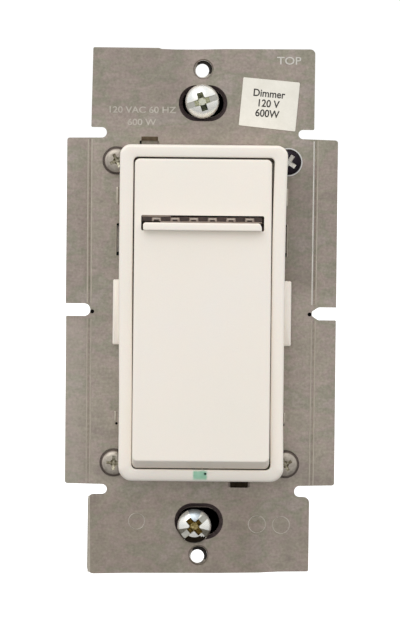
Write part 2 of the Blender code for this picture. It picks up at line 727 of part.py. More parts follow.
def power_switch():
    seat = CONTROL_BOARD_Y[0] - FINE_GAP
    bm = bmesh.new()
    add_plaque(bm, POWER_SWITCH_SIZE, 0.4, [(seat, 0), (SWITCH_FRONT, 0)], 2, (0, PRESS_Z))
    body = place("power_switch_body", bm, "component_black")
    bm = bmesh.new()
    add_rod(bm, PLUNGER_R + GAP, "Y", (0, PRESS_Z), SWITCH_FRONT - 1, 3.6, SMALL_ROUND)
    cut(body, bm)

    front, back = PLUNGER_Y
    bm = bmesh.new()
    profile = [(0, front), (PLUNGER_R - 0.3, front), (PLUNGER_R, front + 0.3), (PLUNGER_R, back),
               (0, back)]
    add_turned(bm, profile, "Y", (0, PRESS_Z), SMALL_ROUND)
    place("power_switch_plunger", bm, "bar_plastic")


def dim_switch():
    """Two-way momentary slide switch under the dim bar's finger."""
    bm = bmesh.new()
    add_box(bm, DIM_SWITCH_BODY[0], (SWITCH_FRONT, CONTROL_BOARD_Y[0] - FINE_GAP), DIM_SWITCH_BODY[1])
    body = place("dim_switch_body", bm, "component_black")
    bm = bmesh.new()
    add_box(bm, *DIM_SWITCH_ROOM)
    cut(body, bm)
    bm = bmesh.new()
    add_box(bm, DIM_SWITCH_WINDOW[0], (SWITCH_FRONT - 1, 2.0), DIM_SWITCH_WINDOW[1])
    cut(body, bm)

    tip, step, back = SLIDER_Y
    inner, outer, foot = SLIDER_X
    half = [(foot, back), (foot, step), (outer, step), (outer, tip), (inner, tip), (inner, step)]
    bm = bmesh.new()
    add_prism(bm, half + [(-x, y) for x, y in reversed(half)], "Z", *SLIDER_Z)
    place("dim_switch_slider", bm, "bar_plastic")


# ---------------------------------------------------------------- housing

def back_housing():
    half_x, half_z = HOUSING_HALF
    size = (2 * half_x, 2 * half_z)
    bm = bmesh.new()
    rings = [(HOUSING_BACK, 1.0), (HOUSING_BACK - 1.0, 0), (HOUSING_FRONT, 0)]
    add_plaque(bm, size, HOUSING_CORNER, rings, 3)
    housing = place("back_housing", bm, "black_plastic")

    bm = bmesh.new()
    cavity = (size[0] - 2 * HOUSING_WALL, size[1] - 2 * HOUSING_WALL)
    add_plaque(bm, cavity, 0.6, [(HOUSING_BACK - HOUSING_WALL, 0), (HOUSING_FRONT - 1, 0)], 2)
    cut(housing, bm)

    bm = bmesh.new()
    for side in (1, -1):
        for wall in (1, -1):
            add_rod(bm, POST_R, "Y", (wall * BODY_SCREW[0], side * BODY_SCREW[1]),
                    HOUSING_FRONT, HOUSING_ROOT, SMALL_ROUND)
    inner, outer, half_y, half_z = TERMINAL_BLOCK
    for side, z in TERMINALS:
        add_box(bm, sorted((side * inner, side * outer)), (TERMINAL_Y - half_y, HOUSING_ROOT),
                (z - half_z, z + half_z))
    join(housing, bm)

    bm = bmesh.new()
    for side in (1, -1):
        for wall in (1, -1):
            add_rod(bm, POST_BORE[0], "Y", (wall * BODY_SCREW[0], side * BODY_SCREW[1]),
                    HOUSING_FRONT - 1, POST_BORE[1], SMALL_ROUND)
    inner, outer, half_y, half_z = TERMINAL_BAY
    for side, z in TERMINALS:
        add_box(bm, sorted((side * inner, side * outer)), (TERMINAL_Y - half_y, TERMINAL_Y + half_y),
                (z - half_z, z + half_z))
    cut(housing, bm)

    bm = bmesh.new()
    for side, z in TERMINALS:
        for level in (1, -1):
            add_rod(bm, WIRE_HOLE_R, "Y", (side * WIRE_HOLE_X, z + level * WIRE_HOLE_OFFSET),
                    TERMINAL_Y + 4.0, HOUSING_BACK + 1, 12)
        add_rod(bm, TERMINAL_SHANK[0] + 0.4, "X", (TERMINAL_Y, z), *sorted((side * 14, side * 17)),
                SMALL_ROUND)
    cut(housing, bm)


def cross_outline(reach, half):
    """Outline of an upright cross with four equal arms."""
    arm = [(reach, half), (half, half), (half, reach)]
    outline = []
    for turn in range(4):
        angle = math.pi / 2 * turn
        for u, v in arm:
            outline.append((u * math.cos(angle) - v * math.sin(angle),
                            u * math.sin(angle) + v * math.cos(angle)))
    return outline


def turned_outline(outline, degrees, centre):
    angle = math.radians(degrees)
    return [(centre[0] + u * math.cos(angle) - v * math.sin(angle),
             centre[1] + u * math.sin(angle) + v * math.cos(angle)) for u, v in outline]


def screw(name, centre, seat, head_r, head_height, shank_r, tip, finish, twist, slotted, parent=None):
    """Pan-head screw facing -Y with a cross recess, and a driver slot across it where slotted."""
    top = seat - head_height
    profile = [(0, top), (head_r * 0.55, top + head_height * 0.06),
               (head_r * 0.85, top + head_height * 0.28), (head_r, top + head_height * 0.62),
               (head_r, seat), (shank_r, seat), (shank_r, tip - shank_r * 0.7),
               (shank_r * 0.45, tip), (0, tip)]
    bm = bmesh.new()
    add_turned(bm, profile, "Y", centre)
    pivot = (centre[0], 0, centre[1]) if parent else (0, 0, 0)
    made = place(name, bm, finish, pivot, parent)
    bm = bmesh.new()
    cross = cross_outline(head_r * 0.55, head_r * 0.14)
    add_prism(bm, turned_outline(cross, twist, centre), "Y", top - 1, top + head_height * 0.62)
    cut(made, bm)
    if slotted:
        bm = bmesh.new()
        half = head_r * 0.17
        slot = [(-head_r - 1, -half), (head_r + 1, -half), (head_r + 1, half), (-head_r - 1, half)]
        add_prism(bm, turned_outline(slot, twist, centre), "Y", top - 1, top + head_height * 0.42)
        cut(made, bm)
    return made


def housing_screws():
    corners = (("upper_left", -1, 1), ("upper_right", 1, 1), ("lower_left", -1, -1),
               ("lower_right", 1, -1))
    for index, (name, wall, side) in enumerate(corners):
        finish = "dark_steel" if name == "upper_right" else "zinc_steel"
        screw(f"housing_screw_{name}", (wall * BODY_SCREW[0], side * BODY_SCREW[1]), BODY_SCREW_SEAT,
              *BODY_SCREW_HEAD, BODY_SCREW_SHANK_R, BODY_SCREW_TIP, finish, 25 + 31 * index, False)


def box_screws(pivots):
    for name, (centre, twist) in BOX_SCREWS.items():
        screw(f"mounting_screw_{name}", centre, STRAP_FRONT - 0.25, *BOX_SCREW_HEAD,
              BOX_SCREW_SHANK_R, BOX_SCREW_TIP, "zinc_steel", twist, True, pivots[name])
        bm = bmesh.new()
        add_plaque(bm, WASHER_SIZE, 1.2, [(WASHER_Y[1], 0), (WASHER_Y[0], 0)], 3, centre)
        washer = place(f"captive_washer_{name}", bm, "fibre_black")
        bm = bmesh.new()
        add_rod(bm, BOX_SCREW_SHANK_R + 0.2, "Y", centre, -1, 2, SMALL_ROUND)
        cut(washer, bm)


def terminals():
    head_r, outer = TERMINAL_HEAD_R, TERMINAL_OUTER
    shank_r, end = TERMINAL_SHANK
    for number, (side, z) in enumerate(TERMINALS, start=1):
        profile = [(0, outer), (head_r - 0.6, outer), (head_r, outer - 0.4), (head_r, outer - 1.6),
                   (shank_r, outer - 1.6), (shank_r, end), (0, end)]
        bm = bmesh.new()
        add_turned(bm, [(r, side * h) for r, h in profile], "X", (TERMINAL_Y, z), 20)
        made = place(f"terminal_screw_{number}", bm, "brass")
        bm = bmesh.new()
        add_box(bm, sorted((side * (outer - 0.9), side * (outer + 1))),
                (TERMINAL_Y - head_r - 0.8, TERMINAL_Y + head_r + 0.8), (z - 0.4, z + 0.4))
        cut(made, bm)

        bm = bmesh.new()
        add_box(bm, sorted(side * x for x in CLAMP_X), (TERMINAL_Y - CLAMP_HALF[0],
                TERMINAL_Y + CLAMP_HALF[0]), (z - CLAMP_HALF[1], z + CLAMP_HALF[1]))
        plate = place(f"terminal_clamp_{number}", bm, "brass")
        bm = bmesh.new()
        add_rod(bm, shank_r + GAP, "X", (TERMINAL_Y, z), *sorted((side * 15, side * 19)), SMALL_ROUND)
        cut(plate, bm)


def ground_terminal():
    """Brass bracket behind the strap's lower end, with its green screw pointing up."""
    across, deep = GROUND_SCREW
    bm = bmesh.new()
    add_prism(bm, [(y, z) for z, y in GROUND_OUTLINE], "X", *GROUND_X)
    clip = place("ground_clip", bm, "brass")
    bm = bmesh.new()
    add_rod(bm, 1.9, "Z", GROUND_SCREW, -41, -38, SMALL_ROUND)
    cut(clip, bm)

    profile = [(0, -43.0), (2.4, -43.0), (2.9, -42.7), (3.2, -41.0), (3.2, -40.5), (1.6, -40.5),
               (1.6, -36.4), (1.1, -35.8), (0, -35.8)]
    bm = bmesh.new()
    add_turned(bm, profile, "Z", GROUND_SCREW, 20)
    made = place("ground_screw", bm, "ground_green")
    bm = bmesh.new()
    add_box(bm, (across - 4.5, across + 4.5), (deep - 0.4, deep + 0.4), (-44, -42.2))
    cut(made, bm)


def rating_label():
    bm = bmesh.new()
    add_plaque(bm, RATING_LABEL, 1.0, [(HOUSING_BACK + 0.2, 0), (HOUSING_BACK + 0.05, 0)], 3)
    place("rating_label", bm, "label_paper")


def strap_label():
    """Small paper sticker at the upper right of the strap, turned a little."""
    half_u, half_v = STRAP_LABEL[0] / 2, STRAP_LABEL[1] / 2
    outline = turned_outline([(-half_u, -half_v), (half_u, -half_v), (half_u, half_v),
                              (-half_u, half_v)], STRAP_LABEL_TURN, STRAP_LABEL_CENTRE)
    bm = bmesh.new()
    add_prism(bm, outline, "Y", STRAP_FRONT - 0.2, STRAP_FRONT - 0.08)
    place("strap_label", bm, "label_paper")


# ---------------------------------------------------------------- boards and parts on them

def stepped_board(half_x, low, high, shoulder_x, shoulder_low, shoulder_high):
    """Outline of a board whose corners step in round the housing's screw posts."""
    return [(-shoulder_x, low), (shoulder_x, low), (shoulder_x, shoulder_low), (half_x, shoulder_low),
            (half_x, shoulder_high), (shoulder_x, shoulder_high), (shoulder_x, high),
            (-shoulder_x, high), (-shoulder_x, shoulder_high), (-half_x, shoulder_high),
            (-half_x, shoulder_low), (-shoulder_x, shoulder_low)]


def boards():
    bm = bmesh.new()
    add_prism(bm, stepped_board(19.4, -32.3, 20.7, 13.4, -26.3, 20.2), "Y", *CONTROL_BOARD_Y)
    place("control_board", bm, "board_green")
    bm = bmesh.new()
    add_prism(bm, stepped_board(14.4, -32.3, 32.3, 13.4, -26.3, 26.3), "Y", *POWER_BOARD_Y)
    place("power_board", bm, "board_green")

    pins = 5
    pitch = 2.54
    start = -14.0
    outline = []
    for i in range(pins):
        x = start + i * pitch
        outline += [(x - 0.4, 5.8), (x + 0.4, 5.8), (x + 0.4, 11.0)]
        if i < pins - 1:
            outline.append((x + pitch - 0.4, 11.0))
    end = start + (pins - 1) * pitch
    outline += [(end + 1.2, 11.0), (end + 1.2, 19.8), (start - 1.2, 19.8), (start - 1.2, 11.0),
                (start - 0.4, 11.0)]
    bm = bmesh.new()
    add_prism(bm, outline, "Z", 18.4, 20.4)
    place("board_header", bm, "component_black")

    bm = bmesh.new()
    rings = [(CONTROL_BOARD_Y[1] + FINE_GAP, 0), (CONTROL_BOARD_Y[1] + 1.3, 0),
             (CONTROL_BOARD_Y[1] + 1.6, 0.2)]
    add_plaque(bm, (8.0, 6.0), 0.3, rings, 1, (7.0, -1.0))
    place("controller_chip", bm, "component_black")


def choke():
    """Ferrite ring with a copper winding, standing on the power board."""
    centre = (0.0, -19.0)
    middle_y = 13.4
    inner, outer, half = 3.6, 7.0, 2.6
    steps = 20
    bm = bmesh.new()
    section = [(inner, middle_y - half), (outer, middle_y - half), (outer, middle_y + half),
               (inner, middle_y + half)]
    rings = []
    for i in range(steps):
        angle = math.tau * i / steps
        rings.append([bm.verts.new((centre[0] + r * math.cos(angle), y, centre[1] + r * math.sin(angle)))
                      for r, y in section])
    for i in range(steps):
        this, following = rings[i], rings[(i + 1) % steps]
        for j in range(len(section)):
            k = (j + 1) % len(section)
            bm.faces.new((this[j], this[k], following[k], following[j]))
    place("choke_core", bm, "ferrite")

    turns = 12
    per_turn = 8
    wire = 0.45
    reach = (outer - inner) / 2 + wire + 0.75
    stretch = half + wire + 0.45
    mid_r = (inner + outer) / 2
    curve = bpy.data.curves.new("choke_winding", "CURVE")
    curve.dimensions = "3D"
    curve.bevel_depth = wire * MM
    curve.bevel_resolution = 0
    curve.use_fill_caps = True
    spline = curve.splines.new("POLY")
    count = turns * per_turn
    spline.points.add(count)
    for i in range(count + 1):
        round_ring = math.radians(20 + 320 * i / count)
        lap = math.tau * i / per_turn
        squash = max(abs(math.cos(lap)), abs(math.sin(lap)))
        r = mid_r + reach * math.cos(lap) / squash
        spot = Vector((centre[0] + r * math.cos(round_ring), middle_y + stretch * math.sin(lap) / squash,
                       centre[1] + r * math.sin(round_ring))) * MM
        spline.points[i].co = (*spot, 1)
    curve.materials.append(material("copper"))
    item = bpy.data.objects.new("choke_winding", curve)
    bpy.context.scene.collection.objects.link(item)


def power_parts():
    floor = POWER_BOARD_Y[0] - FINE_GAP
    bm = bmesh.new()
    add_plaque(bm, (16.0, 7.0), 0.5, [(floor, 0), (9.2, 0), (8.8, 0.4)], 2, (-4.0, 5.5))
    place("film_capacitor", bm, "film_red")

    bm = bmesh.new()
    can = [(0, 8.0), (3.6, 8.0), (4.0, 8.4), (4.0, 17.6), (3.7, 18.0), (4.0, 18.4), (4.0, floor),
           (0, floor)]
    add_turned(bm, can, "Y", (10.5, 6.0), SMALL_ROUND)
    place("electrolytic_capacitor", bm, "component_black")

    bm = bmesh.new()
    disc = [(0, -1.8), (4.2, -1.8), (5.0, -1.1), (5.0, 1.1), (4.2, 1.8), (0, 1.8)]
    add_turned(bm, [(r, h - 6.0) for r, h in disc], "Z", (-8.0, 14.2), SMALL_ROUND)
    place("varistor", bm, "varistor_blue")

    bm = bmesh.new()
    tube = [(0, 4.0), (1.6, 4.0), (1.6, 5.8), (1.4, 5.8), (1.4, 12.2), (1.6, 12.2), (1.6, 14.0),
            (0, 14.0)]
    add_turned(bm, tube, "X", (17.9, -5.5), 12)
    place("fuse", bm, "fuse_tan")


def transistors():
    """Two power transistors against the strap's rear face, with their insulator, clip and screw."""
    bm = bmesh.new()
    add_box(bm, (-10.9, 10.9), (0.1, 0.45), (21.4, 31.2))
    pad = place("insulating_pad", bm, "pad_grey")
    bm = bmesh.new()
    add_rod(bm, 1.7, "Y", (0, 26.0), -1, 2, SMALL_ROUND)
    cut(pad, bm)

    for number, middle in enumerate((-6.2, 6.2), start=1):
        bm = bmesh.new()
        rings = [(4.3, 0.35), (3.6, 0), (0.55, 0)]
        add_plaque(bm, (8.8, 9.0), 0.3, rings, 1, (middle, 26.4))
        made = place(f"transistor_{number}", bm, "component_black")
        bm = bmesh.new()
        for leg in (-2.54, 0, 2.54):
            outline = [(1.6, 22.5), (1.6, 21.2), (19.7, 21.2), (19.7, 21.8), (2.3, 21.8), (2.3, 22.5)]
            add_prism(bm, outline, "X", middle + leg - 0.4, middle + leg + 0.4)
        join(made, bm)

    clip = [(-10.4, 4.6), (10.4, 4.6), (10.4, 5.2), (-10.4, 5.2)]
    bm = bmesh.new()
    add_prism(bm, clip, "Z", 23.6, 28.4)
    made = place("transistor_clip", bm, "spring_steel")
    bm = bmesh.new()
    add_rod(bm, 1.6, "Y", (0, 26.0), 3, 7, SMALL_ROUND)
    cut(made, bm)

    profile = [(0, 0.7), (1.3, 0.7), (1.3, 5.4), (2.6, 5.4), (2.6, 6.6), (2.0, 7.2), (0, 7.2)]
    bm = bmesh.new()
    add_turned(bm, profile, "Y", (0, 26.0), SMALL_ROUND)
    place("clip_screw", bm, "zinc_steel")


# ---------------------------------------------------------------- assembly

def build():
    clear_scene()
    mounting_strap()
    front_frame()
    locator_lens()
    carrier()
    push_pad(pivot_empty("pad_hinge_axis", PAD_HINGE))
    hinge_pins()
    pad_spring()
    dim_bar(pivot_empty("bar_hinge_axis", BAR_HINGE))
    bar_pivot_pin()
    light_guide()
    level_leds()
    power_switch()
    dim_switch()
    back_housing()
    housing_screws()
    pivots = {name: pivot_empty(f"mounting_screw_{name}_axis", (centre[0], 0, centre[1]))
              for name, (centre, _) in BOX_SCREWS.items()}
    box_screws(pivots)
    terminals()
    ground_terminal()
    rating_label()
    strap_label()
    boards()
    choke()
    power_parts()
    transistors()


build()
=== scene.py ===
"""Looks of a preset dimmer switch for a rectangular wall plate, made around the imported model.

Every piece is built in millimetres in the model's own frame and scaled to metres: +X is the
viewer's right, +Z is up and -Y points at the viewer.
"""
import json
import math

import bmesh
import bpy
from mathutils import Matrix, Vector


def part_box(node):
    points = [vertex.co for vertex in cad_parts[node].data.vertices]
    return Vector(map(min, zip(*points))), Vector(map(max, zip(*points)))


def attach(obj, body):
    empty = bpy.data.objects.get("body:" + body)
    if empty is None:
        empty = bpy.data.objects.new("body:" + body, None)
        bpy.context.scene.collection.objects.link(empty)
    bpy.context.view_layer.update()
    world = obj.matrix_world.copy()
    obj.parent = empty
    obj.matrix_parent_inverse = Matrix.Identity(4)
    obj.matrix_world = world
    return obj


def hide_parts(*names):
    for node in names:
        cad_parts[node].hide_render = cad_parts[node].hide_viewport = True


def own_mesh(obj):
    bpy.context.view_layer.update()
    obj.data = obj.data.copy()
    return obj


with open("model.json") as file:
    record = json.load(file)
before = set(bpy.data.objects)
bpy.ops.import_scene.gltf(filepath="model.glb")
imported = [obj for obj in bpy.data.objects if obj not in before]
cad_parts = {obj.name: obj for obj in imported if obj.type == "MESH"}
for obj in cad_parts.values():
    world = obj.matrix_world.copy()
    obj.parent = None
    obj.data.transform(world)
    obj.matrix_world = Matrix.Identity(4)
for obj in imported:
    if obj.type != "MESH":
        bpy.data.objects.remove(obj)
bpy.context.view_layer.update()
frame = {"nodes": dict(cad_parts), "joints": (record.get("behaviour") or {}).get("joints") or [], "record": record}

MM = 0.001
WELD = 1e-4


# ---------------------------------------------------------------- measures taken from the frame

def box_mm(node):
    low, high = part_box(node)
    return Vector(low) / MM, Vector(high) / MM


def joint_spot(name):
    """A hinge's place in millimetres."""
    for joint in frame["joints"]:
        if joint["name"] == name:
            return Vector(joint["pos_m"]) / MM
    raise KeyError(name)


STRAP_LOW, STRAP_HIGH = box_mm("mounting_strap")
STRAP_FRONT = STRAP_LOW.y
BEZEL_LOW, BEZEL_HIGH = box_mm("front_frame")
PAD_LOW, PAD_HIGH = box_mm("push_pad")
BAR_LOW, BAR_HIGH = box_mm("dim_bar")
GUIDE_LOW, GUIDE_HIGH = box_mm("light_guide")
HOUSING_LOW, HOUSING_HIGH = box_mm("back_housing")
LABEL_LOW, LABEL_HIGH = box_mm("strap_label")


# ---------------------------------------------------------------- colours and materials

def linear(channel):
    """One sRGB channel, 0 to 255, as scene-linear light."""
    part = channel / 255
    if part <= 0.04045:
        return part / 12.92
    return ((part + 0.055) / 1.055) ** 2.4


def colour(rgb):
    return (*[linear(c) for c in rgb], 1)


class Nodes:
    """Small builder for a node tree."""

    def __init__(self, tree):
        self.nodes = tree.nodes
        self.links = tree.links

    def link(self, output, target):
        self.links.new(output, target)

    def fill(self, made, inputs):
        """Link or set a node's inputs by their names or numbers and hand the node back."""
        for key, value in inputs.items():
            if isinstance(value, bpy.types.NodeSocket):
                self.link(value, made.inputs[key])
            else:
                made.inputs[key].default_value = value
        return made

    def node(self, kind, **inputs):
        return self.fill(self.nodes.new(kind), inputs)

    def ramp(self, factor, stops, tint=colour):
        """Colour ramp through (position, tone) stops, each tone made a colour by tint."""
        made = self.nodes.new("ShaderNodeValToRGB")
        self.link(factor, made.inputs["Fac"])
        elements = made.color_ramp.elements
        elements[0].position, elements[1].position = stops[0][0], stops[-1][0]
        elements[0].color, elements[1].color = tint(stops[0][1]), tint(stops[-1][1])
        for position, tone in stops[1:-1]:
            elements.new(position).color = tint(tone)
        return made.outputs["Color"]

    def span(self, value, low, high, to_low=0.0, to_high=1.0, ease="LINEAR"):
        made = self.nodes.new("ShaderNodeMapRange")
        made.interpolation_type = ease
        limits = dict(enumerate((value, low, high, to_low, to_high)))
        return self.fill(made, limits).outputs["Result"]

    def smooth_span(self, value, low, high):
        return self.span(value, low, high, ease="SMOOTHSTEP")

    def math(self, operation, first, second=0.0):
        made = self.nodes.new("ShaderNodeMath")
        made.operation = operation
        return self.fill(made, {0: first, 1: second}).outputs["Value"]

    def mix(self, factor, first, second, blend="MIX"):
        made = self.nodes.new("ShaderNodeMix")
        made.data_type = "RGBA"
        made.blend_type = blend
        return self.fill(made, {0: factor, 6: first, 7: second}).outputs[2]


class Tree(Nodes):
    """Builder for a material placed by the object's own coordinates."""

    def __init__(self, name):
        self.material = bpy.data.materials.new(name)
        self.material.use_nodes = True
        super().__init__(self.material.node_tree)
        self.shader = self.nodes["Principled BSDF"]
        self.place = self.node("ShaderNodeTexCoord").outputs["Object"]

    def axes(self):
        """The object's own X, Y and Z."""
        return self.node("ShaderNodeSeparateXYZ", Vector=self.place).outputs

    def noise(self, scale, detail=3.0, stretch=(1, 1, 1), roughness=0.55):
        scaled = self.node("ShaderNodeMapping", Vector=self.place, Scale=stretch)
        made = self.node("ShaderNodeTexNoise", Vector=scaled.outputs["Vector"], Scale=scale,
                         Detail=detail, Roughness=roughness)
        return made.outputs["Fac"]

    def bump(self, height, strength, distance_mm):
        made = self.node("ShaderNodeBump", Height=height, Strength=strength,
                         Distance=distance_mm * MM)
        self.link(made.outputs["Normal"], self.shader.inputs["Normal"])


def surface(name, tones, roughness, metallic, blotch, grain=3000.0, stretch=(1, 1, 1),
            spread=0.08, relief=0.08, depth=0.02, wear=None, coat=0.0):
    """Material with blotches between tones, a fine grain in roughness and relief, and scuffs."""
    tree = Tree(name)
    broad = tree.noise(blotch, 4.0)
    fine = tree.noise(grain, 3.0, stretch)
    steps = [(0.3 + 0.4 * i / (len(tones) - 1), tone) for i, tone in enumerate(tones)]
    base = tree.ramp(broad, steps)
    shade = tree.span(fine, 0.25, 0.75, 1 - spread, 1 + spread)
    base = tree.mix(1.0, base, shade, "MULTIPLY")
    if wear:
        scuff = tree.smooth_span(tree.noise(blotch * 3.1, 6.0, (1, 1, 1), 0.7), 0.6, 0.78)
        base = tree.mix(tree.math("MULTIPLY", scuff, 0.5), base, colour(wear))
    tree.link(base, tree.shader.inputs["Base Color"])
    tree.link(tree.span(fine, 0.2, 0.8, roughness - 0.07, roughness + 0.07),
              tree.shader.inputs["Roughness"])
    tree.shader.inputs["Metallic"].default_value = metallic
    tree.shader.inputs["Coat Weight"].default_value = coat
    tree.bump(fine, relief, depth)
    return tree.material


# Soft-edged darker and lighter areas of the sheet: x from and to, z from and to, strength and tone
ZONE_EDGE = 4.0
STRAP_ZONES = (
    (13, 25, 2, 31, 0.23, (60, 52, 46)),
    (-60, 14, -80, -34, 0.2, (92, 72, 52)),
    (6, 60, -80, -34, 0.08, (92, 72, 52)),
    (-34, -1, 37, 60, 0.12, (60, 52, 46)),
    (22, 34, 2, 36, 0.12, (60, 52, 46)),
    (-34, -21, -38, 0, 0.12, (230, 222, 210)),
)


def strap_surface():
    """Rolled plated sheet: stained tint, mottle, specks, faint sideways streaks and soft darker and lighter areas.
    """
    tree = Tree("plated_sheet")
    stain = tree.noise(150, 5.0, (0.8, 1, 1.3), 0.6)
    tint = tree.ramp(stain, [(0.3, (158, 146, 138)), (0.4, (166, 158, 144)), (0.48, (172, 158, 150)),
                             (0.56, (158, 154, 138)), (0.64, (174, 162, 154)), (0.74, (162, 156, 146))])
    cloud = tree.noise(38, 3.0)
    mottle = tree.noise(620, 4.0, (0.7, 1, 1), 0.7)
    grain = tree.noise(2600, 4.0, (0.3, 1, 1), 0.65)
    streak = tree.noise(900, 5.0, (0.05, 1, 1), 0.7)
    speck = tree.noise(1900, 2.0)
    base = tree.mix(1.0, tint, tree.span(cloud, 0.3, 0.7, 0.9, 1.08), "MULTIPLY")
    for factor, low, high in ((mottle, 0.88, 1.12), (streak, 0.97, 1.03), (grain, 0.94, 1.06),
                              (speck, 0.86, 1.14)):
        base = tree.mix(1.0, base, tree.span(factor, 0.25, 0.75, low, high), "MULTIPLY")
    axes = tree.axes()
    for x_low, x_high, z_low, z_high, share, tone in STRAP_ZONES:
        mask = share
        for axis, low, high in (("X", x_low, x_high), ("Z", z_low, z_high)):
            for start, end in ((low, low + ZONE_EDGE), (high, high - ZONE_EDGE)):
                rise = tree.smooth_span(axes[axis], start * MM, end * MM)
                mask = tree.math("MULTIPLY", rise, mask)
        base = tree.mix(mask, base, colour(tone))
    tree.link(base, tree.shader.inputs["Base Color"])
    tree.link(tree.span(streak, 0.2, 0.8, 0.38, 0.52), tree.shader.inputs["Roughness"])
    tree.shader.inputs["Metallic"].default_value = 0.85
    tree.bump(tree.math("ADD", speck, mottle), 0.22, 0.02)
    return tree.material


def ivory_surface(name, tones, glow=False):
    """Satin moulded plastic with a faint flow variation; glow adds the lit window's soft patch."""
    tree = Tree(name)
    broad = tree.noise(45, 3.0)
    fine = tree.noise(5200, 3.0)
    base = tree.ramp(broad, [(0.3, tones[0]), (0.5, tones[1]), (0.7, tones[2])])
    base = tree.mix(1.0, base, tree.span(fine, 0.3, 0.7, 0.985, 1.015), "MULTIPLY")
    if glow:
        lens_low, lens_high = box_mm("locator_lens")
        middle = (lens_low + lens_high) / 2
        axes = tree.axes()
        wobble = tree.math("MULTIPLY", tree.math("SUBTRACT", tree.noise(1400, 3.0), 0.5), 0.35 * MM)
        masks = []
        for axis, centre, half in (("X", middle.x + 0.04, 1.36), ("Z", middle.z - 0.04, 0.98)):
            away = tree.math("ABSOLUTE", tree.math("SUBTRACT", axes[axis], centre * MM))
            away = tree.math("ADD", away, wobble)
            masks.append(tree.smooth_span(away, (half + 0.24) * MM, (half - 0.28) * MM))
        patch = tree.math("MULTIPLY", *masks)
        depth = tree.smooth_span(axes["Y"], (BEZEL_LOW.y + 1.2) * MM,
                                 (BEZEL_LOW.y + 0.6) * MM)
        patch = tree.math("MULTIPLY", patch, depth)
        core = tree.ramp(tree.noise(700, 3.0), [(0.35, (150, 204, 172)), (0.65, (170, 214, 188))])
        base = tree.mix(patch, base, core)
    tree.link(base, tree.shader.inputs["Base Color"])
    tree.link(tree.span(fine, 0.3, 0.7, 0.36, 0.44), tree.shader.inputs["Roughness"])
    tree.shader.inputs["Subsurface Weight"].default_value = 0.04
    tree.shader.inputs["Subsurface Scale"].default_value = 0.0008
    tree.bump(fine, 0.05, 0.01)
    return tree.material


def look(tones, roughness, metallic=0.0, blotch=160.0, **others):
    return dict(tones=tones, roughness=roughness, metallic=metallic, blotch=blotch, **others)


